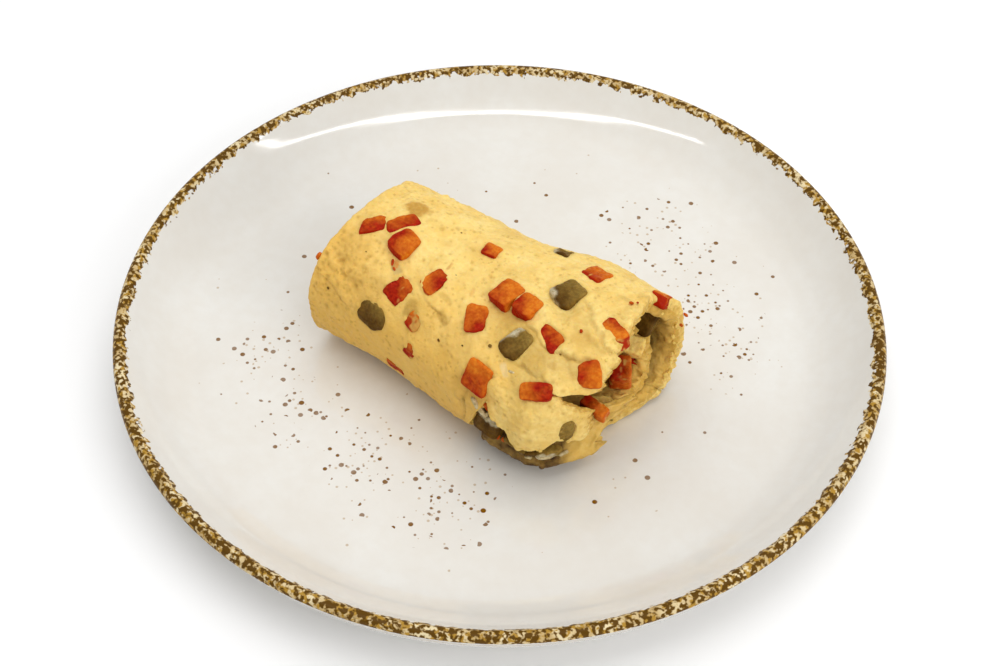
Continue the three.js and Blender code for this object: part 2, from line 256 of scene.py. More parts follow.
# kind, middle, size, turning about X, Y and Z, tone, film
looseDice = [
    ("carrot", (50.4, 2.1, 26), (7.6, 8.6, 9.6), (8, 6, 38), 0.5, 0.25),
    ("carrot", (49.5, 12.6, 22), (4.8, 4.6, 4.6), (10, 30, 20), 0.6, 0.1),
    ("carrot", (55.8, -19.8, 31.5), (9.8, 4.4, 4.8), (12, 4, -2), 0.5, 0.1),
    ("mushroom", (47.4, 20.8, 35.4), (7.6, 9.6, 11), (-32, 8, 12), 0.7, 0.0),
    ("mushroom", (28.8, -41.6, 24.2), (11.4, 6.2, 8), (-14, 0, -8), 0.9, 0.0),
    ("egg_chunk", (48.4, 11.4, 30), (8, 7, 7.2), (30, 20, 18), 0.3, 0.0),
]

# pale cut or skinned side of a mushroom die, in its own frame, by node name
paleSides = {
    "mushroom_02": (-0.3, -1, 0), "mushroom_03": (-0.9, 0.35, 0.25),
    "mushroom_05": (-0.9, -0.2, 0.2), "mushroom_06": (-0.3, -0.3, 0.9),
    "mushroom_08": (-0.2, 0.9, 0.4), "mushroom_09": (0.1, -0.3, 0.95),
}

# power of the corners, narrowing towards one end and slant: a plain die, then those unlike it
plainShape = {"power": 7, "narrow": 0, "slant": 0}
dieShapes = {
    "carrot_01": {"slant": 0.35}, "carrot_02": {"power": 5, "narrow": 0.1}, "carrot_03": {"power": 4},
    "carrot_05": {"power": 5, "narrow": 0.15}, "carrot_06": {"power": 4},
    "carrot_10": {"power": 5, "narrow": -0.15}, "carrot_12": {"power": 5},
    "carrot_13": {"power": 5, "narrow": 0.6, "slant": -0.2}, "carrot_15": {"power": 5, "slant": 0.12},
    "carrot_18": {"power": 5}, "carrot_19": {"power": 5, "narrow": 0.2},
    "mushroom_01": {"power": 2.4}, "mushroom_02": {"power": 5}, "mushroom_03": {"power": 4.5},
    "mushroom_04": {"power": 2.4}, "mushroom_06": {"power": 3}, "mushroom_07": {"power": 3},
    "mushroom_09": {"power": 3},
}

# painted shade: where a carrot die is deepest red, in its own frame: most towards the near side, others as
# listed
plainPaintedShadeSide = (-0.2, -0.7, 0)
paintedShadeSides = {
    "carrot_02": (0.8, 0.3, 0), "carrot_03": (-0.8, -0.4, 0), "carrot_05": (0.5, 0.8, 0),
    "carrot_11": (-0.6, -0.7, 0), "carrot_12": (-0.5, -0.8, 0), "carrot_15": (1, 0, 0),
    "carrot_17": (0.9, 0, -0.6), "carrot_18": (0.4, 0.9, 0), "carrot_19": (-0.7, 0.7, 0),
    "carrot_20": (-0.8, 0, 0.5), "carrot_22": (-1, 0, 0),
}

# how far the egg falls away below a die on its near side: most only a little
plainBare = 0.15
bareSides = {
    "carrot_03": 0.8, "carrot_10": 0.5, "carrot_11": 1.5, "carrot_12": 1.8, "carrot_14": 0.7,
    "carrot_15": 0.5, "mushroom_02": 1.3, "mushroom_03": 0.5,
}


def turning(degrees):
    # rotation about X after Y after Z
    cx, cy, cz = np.cos(np.radians(degrees))
    sx, sy, sz = np.sin(np.radians(degrees))
    aboutX = np.array([[1, 0, 0], [0, cx, -sx], [0, sx, cx]])
    aboutY = np.array([[cy, 0, sy], [0, 1, 0], [-sy, 0, cy]])
    aboutZ = np.array([[cz, -sz, 0], [sz, cz, 0], [0, 0, 1]])
    return aboutX @ aboutY @ aboutZ


def listDice():
    dice, counts = [], {}
    for kind, rows in skinDice.items():
        for at, side, long, wide, deep, turn, proud, tone, film, lap in rows:
            middle, axes = skinFrame(at, side, turn)
            dice.append({
                "kind": kind, "size": (long, wide, deep), "axes": axes, "surface": middle,
                "down": -skinFrame(at, side)[1][1],
                "middle": middle + axes[2] * (proud - deep / 2), "proud": proud,
                "tone": tone, "film": film, "lap": lap, "inSkin": True,
            })
    for kind, middle, size, tilt, tone, film in looseDice:
        dice.append({
            "kind": kind, "size": size, "axes": turning(tilt).T, "middle": np.array(middle, float),
            "tone": tone, "film": film, "inSkin": False,
        })
    for number, die in enumerate(dice, 1):
        counts[die["kind"]] = counts.get(die["kind"], 0) + 1
        die["name"] = f"{die['kind']}_{counts[die['kind']]:02d}"
        die["number"] = number
        die["shape"] = {**plainShape, **dieShapes.get(die["name"], {})}
    return dice


def bendOutline(along, across, shape, halfLong, back=False):
    # narrows a square outline towards its far end and slants it; back undoes both
    if back:
        along = along - shape["slant"] * across
    factor = 1 - shape["narrow"] * (1 - np.clip(along / halfLong, -1.3, 1.3)) / 2
    across = across / factor if back else across * factor
    if not back:
        along = along + shape["slant"] * across
    return along, across


dice = listDice()


def gridQuads(rows, columns, wrap=False):
    # corner numbers of the quads of a grid of points; wrap joins the last column to the first
    index = np.arange(rows * columns).reshape(rows, columns)
    if wrap:
        index = np.concatenate([index, index[:, :1]], axis=1)
    return np.stack([index[:-1, :-1], index[:-1, 1:], index[1:, 1:], index[1:, :-1]], axis=-1).reshape(-1, 4)


def zipTriangles(lineA, placeA, lineB, placeB):
    # triangles between two lines of points, stepping along whichever comes next
    along = np.searchsorted(placeB[1:], placeA[1:], "left")
    other = np.searchsorted(placeA[1:], placeB[1:], "right")
    first = np.stack([lineA[:-1], lineA[1:], lineB[along]], axis=-1)
    second = np.stack([lineB[1:], lineB[:-1], lineA[other]], axis=-1)
    return np.concatenate([first, second])


def makePiece(name, points, faces, material, attributes):
    # a smooth-shaded mesh object in metres; attributes are per point, numbers or colours;
    # points that meet at a pole or in a slab's corner are welded
    mesh = bpy.data.meshes.new(name)
    corners = [row for block in faces for row in block.tolist()]
    mesh.from_pydata(np.asarray(points).reshape(-1, 3) * metre, [], corners)
    for title, values in attributes.items():
        values = np.asarray(values, np.float32)
        if values.ndim == 1:
            mesh.attributes.new(title, "FLOAT", "POINT").data.foreach_set("value", values)
        else:
            full = np.ones((len(values), 4), np.float32)
            full[:, :values.shape[1]] = values
            mesh.attributes.new(title, "FLOAT_COLOR", "POINT").data.foreach_set("color", full.ravel())
    work = bmesh.new()
    work.from_mesh(mesh)
    bmesh.ops.remove_doubles(work, verts=work.verts, dist=weldReach)
    work.to_mesh(mesh)
    work.free()
    mesh.shade_smooth()
    mesh.materials.append(material)
    piece = bpy.data.objects.new(name, mesh)
    bpy.context.scene.collection.objects.link(piece)
    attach(piece, "root")
    return piece


def linear(text):
    # a hex colour as the linear values that Blender's sockets take
    parts = np.array([int(text[k:k + 2], 16) for k in (0, 2, 4)]) / 255
    return tuple(np.where(parts <= 0.04045, parts / 12.92, ((parts + 0.055) / 1.055) ** 2.4)) + (1.0,)


def addNode(tree, kind, values=None, links=None, **settings):
    node = tree.nodes.new("ShaderNode" + kind)
    for name, value in settings.items():
        setattr(node, name, value)
    for socket, value in (values or {}).items():
        node.inputs[socket].default_value = value
    for socket, source in (links or {}).items():
        tree.links.new(source, node.inputs[socket])
    return node


def feed(tree, source, socket):
    # links another socket, or sets a number or a hex colour
    if isinstance(source, bpy.types.NodeSocket):
        tree.links.new(source, socket)
    else:
        socket.default_value = linear(source) if isinstance(source, str) else source


def mixColours(tree, share, first, second):
    # first * (1 - share) + second * share
    node = addNode(tree, "Mix", data_type="RGBA")
    for socket, source in ((0, share), (6, first), (7, second)):
        feed(tree, source, node.inputs[socket])
    return node.outputs[2]


def calculate(tree, way, first, second, clamp=False):
    node = addNode(tree, "Math", operation=way, use_clamp=clamp)
    for socket, source in enumerate((first, second)):
        feed(tree, source, node.inputs[socket])
    return node.outputs[0]


def multiply(tree, first, second):
    return calculate(tree, "MULTIPLY", first, second)


def tinted(tree, body, share, strength, colour):
    # body drawn towards a colour by share * strength
    return mixColours(tree, multiply(tree, share, strength), body, colour)


def wandered(tree, value, noise, amount, clamp=False):
    # value + (noise - 1/2) * amount
    swing = multiply(tree, calculate(tree, "SUBTRACT", noise, 0.5), amount)
    return calculate(tree, "ADD", value, swing, clamp)


def spread(tree, value, low, high, toLow=0.0, toHigh=1.0):
    # low to high becomes toLow to toHigh, level beyond both
    return addNode(tree, "MapRange", {1: low, 2: high, 3: toLow, 4: toHigh}, {0: value}).outputs[0]


def newGroup(name, **numbers):
    # a node group with a vector and some numbers going in, and one value, Share, coming out
    tree = bpy.data.node_groups.new(name, "ShaderNodeTree")
    tree.interface.new_socket("Vector", in_out="INPUT", socket_type="NodeSocketVector")
    for title, value in numbers.items():
        socket = tree.interface.new_socket(title, in_out="INPUT", socket_type="NodeSocketFloat")
        socket.default_value = value
    tree.interface.new_socket("Share", in_out="OUTPUT", socket_type="NodeSocketFloat")
    return tree, tree.nodes.new("NodeGroupInput"), tree.nodes.new("NodeGroupOutput")


def makeMottle():
    # soft cloudy patches: noise of a given period, stretched between two levels
    tree, given, out = newGroup("mottle", Period=0.005, Detail=3.0, Low=0.35, High=0.65)
    scale = calculate(tree, "DIVIDE", 1.0, given.outputs["Period"])
    noise = addNode(tree, "TexNoise", links={
        "Vector": given.outputs["Vector"], "Scale": scale, "Detail": given.outputs["Detail"]})
    stretch = addNode(tree, "MapRange", links={
        0: noise.outputs[0], 1: given.outputs["Low"], 2: given.outputs["High"]})
    tree.links.new(stretch.outputs[0], out.inputs["Share"])
    return tree


def cellSpots(tree, given, dimensions, least):
    # how far inside a cell's round spot a point lies, in spacings, and the cell's random number;
    # spots measure least to 1 of the radius, or 0 to 1 by that number where least is None
    scale = calculate(tree, "DIVIDE", 1.0, given.outputs["Spacing"])
    cells = addNode(tree, "TexVoronoi", {"Randomness": 1.0}, {
        "Vector": given.outputs["Vector"], "Scale": scale}, voronoi_dimensions=dimensions)
    random = addNode(tree, "SeparateColor", links={0: cells.outputs["Color"]})
    size = random.outputs[0] if least is None else spread(tree, random.outputs[1], 0, 1, least, 1.0)
    size = multiply(tree, given.outputs["Radius"], size)
    return calculate(tree, "SUBTRACT", size, cells.outputs["Distance"]), random.outputs[0]


def makeSpecks():
    # round specks, at most one to a cell of the spacing; chance thins them out
    tree, given, out = newGroup("specks", Spacing=0.004, Radius=0.15, Chance=0.5)
    inside, random = cellSpots(tree, given, "2D", 0.35)
    disc = spread(tree, inside, -0.02, 0.03)
    kept = calculate(tree, "LESS_THAN", random, given.outputs["Chance"])
    tree.links.new(multiply(tree, disc, kept), out.inputs["Share"])
    return tree


def makePores():
    # small round pits of uneven depth: 1 at the middle of a pit, 0 on the flat
    tree, given, out = newGroup("pores", Spacing=0.002, Radius=0.3)
    inside = cellSpots(tree, given, "3D", None)[0]
    tree.links.new(spread(tree, inside, 0, 0.25), out.inputs["Share"])
    return tree


mottle, specks, pores = makeMottle(), makeSpecks(), makePores()


def useGroup(tree, group, vector, **values):
    node = tree.nodes.new("ShaderNodeGroup")
    node.node_tree = group
    tree.links.new(vector, node.inputs["Vector"])
    for title, value in values.items():
        feed(tree, value, node.inputs[title])
    return node.outputs[0]


def mottled(tree, vector, period, detail=3.0, low=0.35, high=0.65):
    # cloudy patches from 0 to 1: period in metres, detail, and the noise's levels for 0 and 1
    return useGroup(tree, mottle, vector, Period=period, Detail=detail, Low=low, High=high)


def newMaterial(name, **constant):
    # a Principled material; returns it, its node tree, its shader and Object coordinates
    material = bpy.data.materials.new(name)
    material.use_nodes = True
    tree = material.node_tree
    shader = tree.nodes["Principled BSDF"]
    for title, value in constant.items():
        shader.inputs[title.replace("_", " ")].default_value = value
    place = addNode(tree, "TexCoord").outputs["Object"]
    return material, tree, shader, place


def addBump(tree, shader, height, distance, strength):
    bump = addNode(tree, "Bump", {"Strength": strength, "Distance": distance}, {"Height": height})
    tree.links.new(bump.outputs[0], shader.inputs["Normal"])


def dress(tree, shader, body, rough, height, distance, strength):
    # colour, roughness between two values by the first of rough, and bump
    tree.links.new(body, shader.inputs["Base Color"])
    if rough:
        tree.links.new(spread(tree, rough[0], 0, 1, rough[1], rough[2]), shader.inputs["Roughness"])
    addBump(tree, shader, height, distance, strength)


def readAttribute(tree, name, output="Fac"):
    return addNode(tree, "Attribute", attribute_name=name).outputs[output]


# the plate

plate = {
    "radius": 135, "rimHeight": 22, "floorTop": 6, "floorRadius": 107, "underside": 1.8,
    "footInner": 79, "footOuter": 85, "footSlope": 1.5, "lipRadius": 2.3, "wallCurve": 1.8,
    "around": 400, "lipSteps": 26,
    "rimDrop": 3.0,                      # the outside stands steeper just below the lip
    "wave": 0.1, "wavePeriod": 42,       # the glaze's slow unevenness
    "rings": 0.035, "ringPitch": 7,      # faint turning rings, off centre by ringSway
    "ringSway": 0.6,
    "bandInner": 3.8, "bandOuter": 3.2,  # brown band either side of the lip's crest
    "coarse": (0.0038, 0.26), "faint": (0.0027, 0.2),     # specks: spacing in metres, radius in spacings
    "stray": 0.022,                      # chance of a speck beyond the drifts
    "drifts": [                          # where specks gather, in metres, and how far they reach
        (-0.064, -0.056, 0.024), (-0.036, -0.066, 0.026), (-0.002, -0.068, 0.03),
        (0.03, -0.066, 0.024), (0.045, 0.06, 0.028), (0.066, 0.054, 0.026), (0.018, 0.082, 0.034),
    ],
}


def wall(start, end, low, high, share):
    # radius from start to end, height from low to high as share ^ wallCurve
    height = low + (high - low) * share ** plate["wallCurve"]
    return np.stack([start + (end - start) * share, height], axis=1)


def ledge(start, end, count, height):
    # a level stretch of the profile, radius from start to end
    return np.stack([np.linspace(start, end, count), np.full(count, height)], axis=1)


def plateProfile():
    # radius and height from the middle of the underside, round the lip, to the middle of the floor;
    # then how far each point lies from the lip's crest along the line, outwards positive
    lip, floorR, low = plate["lipRadius"], plate["floorRadius"], plate["underside"]
    lipR, lipZ = plate["radius"] - lip, plate["rimHeight"] - lip
    first, last, slope = plate["footInner"], plate["footOuter"], plate["footSlope"]
    under = ledge(0, first - 3, 14, low)
    foot = np.array([
        [first - slope, low], [first - 0.5, 0.35], [first, 0.08], [first + 0.6, 0],
        [last - 0.6, 0], [last, 0.08], [last + 0.5, 0.35], [last + slope, low]])
    share = np.linspace(0, 1, 50)[:-1]
    outer = wall(floorR + 2, plate["radius"], low, lipZ, share)
    outer[:, 1] -= plate["rimDrop"] * np.minimum(ramp(share, 0.55, 0.9), (1 - share) / 0.1)
    turn = np.radians(np.linspace(0, 135, plate["lipSteps"]))
    rolled = np.stack([lipR + lip * np.cos(turn), lipZ + lip * np.sin(turn)], axis=1)
    inner = wall(floorR, lipR - lip, plate["floorTop"], lipZ + 1, np.linspace(1, 0, 48)[1:])
    floor = ledge(floorR, 0, 44, plate["floorTop"])[1:]
    line = np.concatenate([under, foot, outer, rolled, inner, floor])
    along = lengthAlong(line)
    return line, along[len(under) + len(foot) + len(outer) + plate["lipSteps"] // 2] - along


def makePlate(material):
    # surface of revolution: the profile carried round the Z axis, waved by slow noise
    line, fromCrest = plateProfile()
    angle = np.linspace(0, 2 * np.pi, plate["around"], endpoint=False)
    points = carryRing(line[:, 0], line[:, 1], np.stack([np.cos(angle), np.sin(angle)], axis=1))
    radius, fromCrest = line[:, :1], fromCrest[:, None]
    wave = plate["wave"] * (softNoise(points, plate["wavePeriod"], 3) - 0.4)
    turns = (radius + plate["ringSway"] * np.sin(angle)) / plate["ringPitch"]
    rings = plate["rings"] * np.sin(2 * np.pi * turns) * ramp(radius, 40, 90)
    points[..., 2] += np.where(fromCrest < -2, (wave + rings) * ramp(-fromCrest, 2, 12), 0)
    marks = {"fromCrest": np.broadcast_to(fromCrest, points.shape[:2]).reshape(-1)}
    return makePiece("plate_glazed", points, [gridQuads(*points.shape[:2], wrap=True)], material, marks)


def makeGlaze():
    material, tree, shader, place = newMaterial(
        "speckledGlaze", IOR=1.5, Specular_IOR_Level=0.12, Coat_Roughness=0.085, Coat_IOR=1.5)
    apart = addNode(tree, "SeparateXYZ", links={0: place})
    flat = addNode(tree, "CombineXYZ", links={0: apart.outputs[0], 1: apart.outputs[1]}).outputs[0]
    radius = addNode(tree, "VectorMath", links={0: flat}, operation="LENGTH").outputs["Value"]
    cloud = mottled(tree, place, 0.03, 4.0)
    body = mixColours(tree, cloud, "E5E3DD", "E1DDD5")
    grain = mottled(tree, place, 0.004)
    body = tinted(tree, body, grain, 0.25, "DCD6CB")
    # specks crowd at the drifts and thin out towards the wall
    crowd = None
    for x, y, reach in plate["drifts"]:
        away = addNode(tree, "VectorMath", {1: (x, y, 0)}, {0: flat}, operation="DISTANCE").outputs["Value"]
        near = spread(tree, away, 0.15 * reach, reach, 0.7, 0.0)
        crowd = near if crowd is None else calculate(tree, "MAXIMUM", crowd, near)
    patchy = mottled(tree, flat, 0.012, 2.0, 0.36, 0.56)
    onFloor = spread(tree, radius, 0.085, 0.112, 1.0, 0.0)
    chance = multiply(tree, multiply(tree, crowd, patchy), onFloor)
    chance = calculate(tree, "ADD", chance, multiply(tree, onFloor, plate["stray"]))
    spacing, size = plate["coarse"]
    coarse = useGroup(tree, specks, flat, Spacing=spacing, Radius=size, Chance=chance)
    spacing, size = plate["faint"]
    faint = useGroup(tree, specks, flat, Spacing=spacing, Radius=size, Chance=multiply(tree, chance, 0.8))
    body = tinted(tree, body, faint, 0.5, "A67C2C")
    depth = mottled(tree, flat, 0.005, 0.0)
    body = mixColours(tree, multiply(tree, coarse, spread(tree, depth, 0, 1, 0.8, 1.0)), body, "7A500C")
    # stippled brown band round the lip, cream showing between the dabs
    crest = readAttribute(tree, "fromCrest")
    wander = mottled(tree, place, 0.0024, 3.0, 0.25, 0.75)
    edge = wandered(tree, crest, wander, 4.0)
    inside = spread(tree, edge, -plate["bandInner"] - 0.15, -plate["bandInner"] + 0.15)
    outer = wandered(tree, crest, wander, 0.8)
    outside = spread(tree, outer, plate["bandOuter"] - 0.1, plate["bandOuter"] + 0.1, 1.0, 0.0)
    dabs = mottled(tree, place, 0.0015, 1.5, 0.46, 0.58)
    moved = addNode(tree, "VectorMath", {1: (0.3, 0.1, 0.2)}, {0: place}).outputs[0]
    gaps = mottled(tree, moved, 0.0017, 1.0, 0.42, 0.52)
    heavy = mottled(tree, place, 0.011, 1.0, 0.4, 0.6)
    brown = mixColours(tree, dabs, "5C3E06", "AE8634")
    gap = multiply(tree, gaps, spread(tree, heavy, 0, 1, 1.0, 0.4))
    brown = mixColours(tree, multiply(tree, gap, dabs), brown, "E3D3AA")
    band = multiply(tree, inside, outside)
    body = mixColours(tree, band, body, brown)
    # a thin golden line where the glaze runs out under the lip
    line = multiply(tree, spread(tree, outer, 5.0, 5.2), spread(tree, outer, 6.4, 6.6, 1.0, 0.0))
    body = tinted(tree, body, line, 0.75, "A8823E")
    # bare clay on the foot
    clay = spread(tree, apart.outputs[2], 0.0003, 0.0008, 1.0, 0.0)
    body = mixColours(tree, clay, body, "CDBB9C")
    tree.links.new(body, shader.inputs["Base Color"])
    rough = calculate(tree, "ADD", spread(tree, clay, 0, 1, 0.07, 0.6), multiply(tree, band, 0.3))
    tree.links.new(calculate(tree, "ADD", rough, multiply(tree, cloud, 0.03)), shader.inputs["Roughness"])
    bare = calculate(tree, "MAXIMUM", band, clay)      # no clear glaze over the band and the foot
    tree.links.new(spread(tree, bare, 0, 1, 1.0, 0.0), shader.inputs["Coat Weight"])
    ripple = mottled(tree, place, 0.012, 2.0, 0.2, 0.8)
    addBump(tree, shader, ripple, 0.00005, 0.5)
    return material


glaze = makeGlaze()
plateGlazed = makePlate(glaze)
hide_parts("plate")
print("plate made:", len(plateGlazed.data.vertices), "points")

# the egg sheet

skin = {
    "fine": 0.48, "middle": 0.75, "coarse": 3.0,      # grid steps
    "undulate": 0.5, "lumps": 0.42, "grain": 0.15, "tornGrain": 0.22,     # heights
    "wavePeriods": (17, 7.5), "patchPeriod": 13, "lumpPeriod": 3.4, "grainPeriod": 1.5,
    "pits": 460, "leftPits": 60, "pitDepth": 0.6,     # more to an area at the closed end
    "arc": 0.56,                   # millimetres to a degree, for distances measured in the skin
    "turned": 345,                 # the outer face ends at this many degrees wound
}

# raised folds: the left-hand side of the way along a path of [x, side] stands up by rise; shade is the
# strength of the painted shade in its groove and over its low side
folds = [
    {"path": [[10, 107], [16.5, 104], [24, 107], [30.5, 110], [37, 114], [43, 113], [50, 115], [55, 118]],
     "rise": 2.0, "reach": 10, "groove": 1.2, "shade": 1.0},
    {"path": [[34, 84], [38, 86], [43, 89], [47, 92.5], [51, 98], [54.5, 107], [58, 113]],
     "rise": 0.55, "reach": 8, "groove": 0.9, "shade": 0.5},
    {"path": [[30.5, 143], [27.5, 150], [25.5, 156], [24.8, 161], [27.5, 167]],
     "rise": 1.5, "reach": 9, "groove": 1.0, "shade": 0.5},
    {"path": [[-17, 117], [-9, 125], [1, 131]], "rise": 0.6, "reach": 7, "groove": 0.3, "shade": 0.3},
    {"path": [[30, 133], [36, 129], [43, 131], [49, 136]],
     "rise": 0.9, "reach": 6, "groove": 0.5, "shade": 0.6},
    {"path": [[-47, 148], [-36, 160], [-22, 170]], "rise": 0.5, "reach": 9, "groove": 0.25, "shade": 0.2},
    {"path": [[44, 66], [50, 72], [55, 74]], "rise": -0.7, "reach": 7, "groove": 0.2, "shade": 0.2},
]

# the top's torn lip sags by the open end: from and to along X, the line that it sags below, its drop
lipSag = {
    "from": 41, "to": 57, "line": [[40, 90], [50.5, 101], [54.5, 109], [58, 114]], "reach": 26, "drop": 3.0,
}

# tints of things under a thin film of egg: x, side, long, wide, turn, colour, strength
stains = [
    (-35.8, 78, 8.2, 7.4, 20, "BC8A34", 0.9), (-34.6, 76.5, 2.2, 1.6, 40, "C8762E", 0.6),
    (0.3, 130, 6, 3, 30, "A67C30", 0.6), (-26, 116, 4, 1.6, 60, "C8762E", 0.7),
    (-24.5, 119, 4.5, 3, 30, "B59C68", 0.6), (-19, 121, 4, 1.6, -10, "B98A4A", 0.4),
    (-11.5, 137, 6.5, 6, 10, "B38B3C", 0.75), (-3.5, 118, 4.5, 2.2, 10, "B38B3C", 0.4),
    (3, 106, 4, 1.4, 70, "C97F35", 0.35), (-10, 100, 3.2, 1, 80, "C07A35", 0.6),
    (50, 60, 6, 3, 20, "C9A85A", 0.35), (46, 70, 5, 2, -20, "BE9A44", 0.4),
    (49, 72, 1.6, 1.2, 0, "C86A28", 0.7), (52, 128, 4, 3, 0, "B98A3C", 0.4),
    (44, 122, 3, 2.4, 0, "B98A3C", 0.4), (30, 138, 5, 2, 40, "DCC79A", 0.5),
    (25, 113, 15, 8, 10, "C39A48", 0.5), (39, 127, 12, 7, 30, "C29A48", 0.5),
    (10, 137, 12, 8, 20, "CDA858", 0.3), (-31, 140, 15, 11, 0, "C69E4E", 0.4),
    (-43, 122, 11, 12, 0, "C9A050", 0.4), (-45, 100, 8, 9, 0, "D2AA58", 0.3),
    (46, 101, 7, 6, 40, "CDA252", 0.4), (36, 96, 8, 3, 0, "D2AC5C", 0.3),
    (19, 170, 12, 9, 0, "C79C4A", 0.35),
]


def edgeWalk():
    # from the face round the edge to the middle of the thickness: how far back from
    # the edge and how deep, as shares of the thickness
    flat = 5                       # points down the flat of the edge
    turn = np.radians(np.linspace(0, 90, 5))
    inset = sheet["edge"] * (1 - np.sin(turn))
    deep = sheet["edge"] * (1 - np.cos(turn)) / sheet["thickness"]
    down = np.linspace(deep[-1], sheet["meet"], flat + 1)[1:]
    return np.concatenate([inset, np.zeros(flat)]), np.concatenate([deep, down])


def lengthRows(steps):
    # rows along the roll: share of the length, offset from it and depth share
    inset, deep = edgeWalk()
    x = [0.0]
    for end, step in steps:
        x += list(np.linspace(x[-1], end, max(2, round((end - x[-1]) / step) + 1))[1:])
    share = np.array(x) / steps[-1][0]
    offset = sheet["edge"] * (1 - 2 * share)
    return (np.concatenate([np.zeros(len(inset) - 1), share, np.ones(len(inset) - 1)]),
            np.concatenate([inset[:0:-1], offset, -inset[1:]]),
            np.concatenate([deep[:0:-1], np.zeros(len(share)), deep[1:]]))


def windingColumns(stretches, free):
    # columns around the roll: degrees wound, evenly spaced along the section, and depth share;
    # free says whether the sheet's own edge is the first or the last of them
    wound = [np.array([stretches[0][0]])]
    middleX = 10.0                 # the section that the spacing is measured on
    for low, high, step in stretches:
        trial = np.linspace(low, high, 400)
        points = rollPoint(middleX, sheet["freeEdge"] - trial, woundDepth(trial, middleX))
        length = lengthAlong(points)
        count = max(2, round(length[-1] / step) + 1)
        wound.append(np.interp(np.linspace(0, length[-1], count), length, trial)[1:])
    wound = np.concatenate(wound)
    inset, deep = edgeWalk()
    degrees, apart = inset * 1.7, 0.8      # degrees wound to the edge's points; least gap to the next
    if free == "first":
        wound = wound[wound > degrees[0] + apart]
        shallow = np.concatenate([deep[::-1], np.zeros(len(wound))])
        return np.concatenate([degrees[::-1] + stretches[0][0], wound]), shallow
    last = stretches[-1][1]
    wound = wound[wound < last - degrees[0] - apart]
    return np.concatenate([wound, last - degrees]), np.concatenate([np.zeros(len(wound)), deep])


def outlineDistance(points, die):
    # distance outside a die's outline in the skin's plane, from a rounded square's norm
    local = (points - die["surface"]) @ die["axes"].T
    halfLong, halfWide, power = die["size"][0] / 2, die["size"][1] / 2, die["shape"]["power"]
    along, across = bendOutline(local[..., 0], local[..., 1], die["shape"], halfLong, back=True)
    norm = ((np.abs(along) / halfLong) ** power + (np.abs(across) / halfWide) ** power) ** (1 / power)
    away = (norm - 1) * min(halfLong, halfWide)
    return np.where(np.abs(local[..., 2]) < 9, away, 99.0)


eggEdge = {
    "lapPeriod": 2.8, "bead": 0.2, "beadAt": 1.2, "beadReach": 1.6, "reach": 5,
    "dive": 1.15, "sunk": 2.0,     # slope under a die's top face, and how deep it ends
}


def eggRoundDice(points, relief):
    # egg meets each die: a low bead outside its outline, thin laps over its rim where it lies
    # flush, and a slope that dives under its top face inside; also the stain beside it
    stain = np.zeros(relief.shape)
    for die in dice:
        if not die["inSkin"]:
            continue
        away = outlineDistance(points, die)
        near = away < 6
        if not near.any():
            continue
        spot, outside = points[near], away[near]
        wander = layeredNoise(spot, eggEdge["lapPeriod"], 51 + die["number"], 2)
        lap = die["lap"] * (0.35 + 1.1 * wander)
        beyond = outside + np.maximum(lap, -0.4)
        close = 1 - ramp(outside, 0.4, 4.5)
        below = ramp((spot - die["surface"]) @ die["down"] / die["size"][1], -0.15, 0.5)
        level = (1 - below) * 0.6 * max(0, die["proud"]) - below * bareSides.get(die["name"], plainBare)
        bead = eggEdge["bead"] * hump(outside, eggEdge["beadAt"], eggEdge["beadReach"])
        height = relief[near] * (1 - 0.7 * close) + bead * (0.7 + 0.5 * wander)
        height = height + level * (1 - ramp(outside, 0.4, eggEdge["reach"]))
        height = height + ramp(lap, 0.1, 0.5) * (die["proud"] + 0.25) * (1 - ramp(outside, -0.2, 1.4))
        height = height - eggEdge["dive"] * np.maximum(0, -beyond)
        relief[near] = np.maximum(height, min(die["proud"], 0) - eggEdge["sunk"])
        strength = {"carrot": 0.2, "mushroom": 0.5}[die["kind"]]
        beside = strength * (1 - ramp(outside, -0.2, 1.1)) * (0.5 + 0.5 * wander)
        stain[near] = np.maximum(stain[near], beside)
    return relief, stain


def foldRelief(points, x, side, fold):
    # signed distance from the fold's path in the skin, then a step up on its left side, and the crease:
    # painted shade along the groove and over the low side
    nearest, start = np.full(side.shape, 99.0), 0.0
    signed, walked = np.zeros(side.shape), np.zeros(side.shape)
    path = np.array(fold["path"], float) * [1, -skin["arc"]]
    for (x0, y0), (x1, y1) in zip(path[:-1], path[1:]):
        alongX, alongY = x1 - x0, y1 - y0
        length = np.hypot(alongX, alongY)
        fromX, fromY = x - x0, -skin["arc"] * side - y0
        t = np.clip((fromX * alongX + fromY * alongY) / length ** 2, 0, 1)
        offX, offY = fromX - t * alongX, fromY - t * alongY
        away = np.hypot(offX, offY)
        closer = away < nearest
        nearest = np.where(closer, away, nearest)
        signed = np.where(closer, away * np.sign(alongX * offY - alongY * offX), signed)
        walked = np.where(closer, start + t * length, walked)
        start += length
    signed = signed + 0.8 * layeredNoise(points, 3.2, 41, 2)
    ends = ramp(walked, 0, 3) * (1 - ramp(walked, start - 3, start))
    rise = fold["rise"] * ramp(signed, -0.35, 0.45) * (1 - ramp(signed, 1.5, fold["reach"]))
    valley = ramp(-signed, 0, 0.8) * (1 - ramp(-signed, 3, 13))
    crease = np.maximum(np.exp(-((signed + 0.5) / 0.6) ** 2), 0.6 * valley) * ends * fold["shade"]
    return (rise - fold["groove"] * np.exp(-((signed + 0.45) / 0.5) ** 2)) * ends, crease


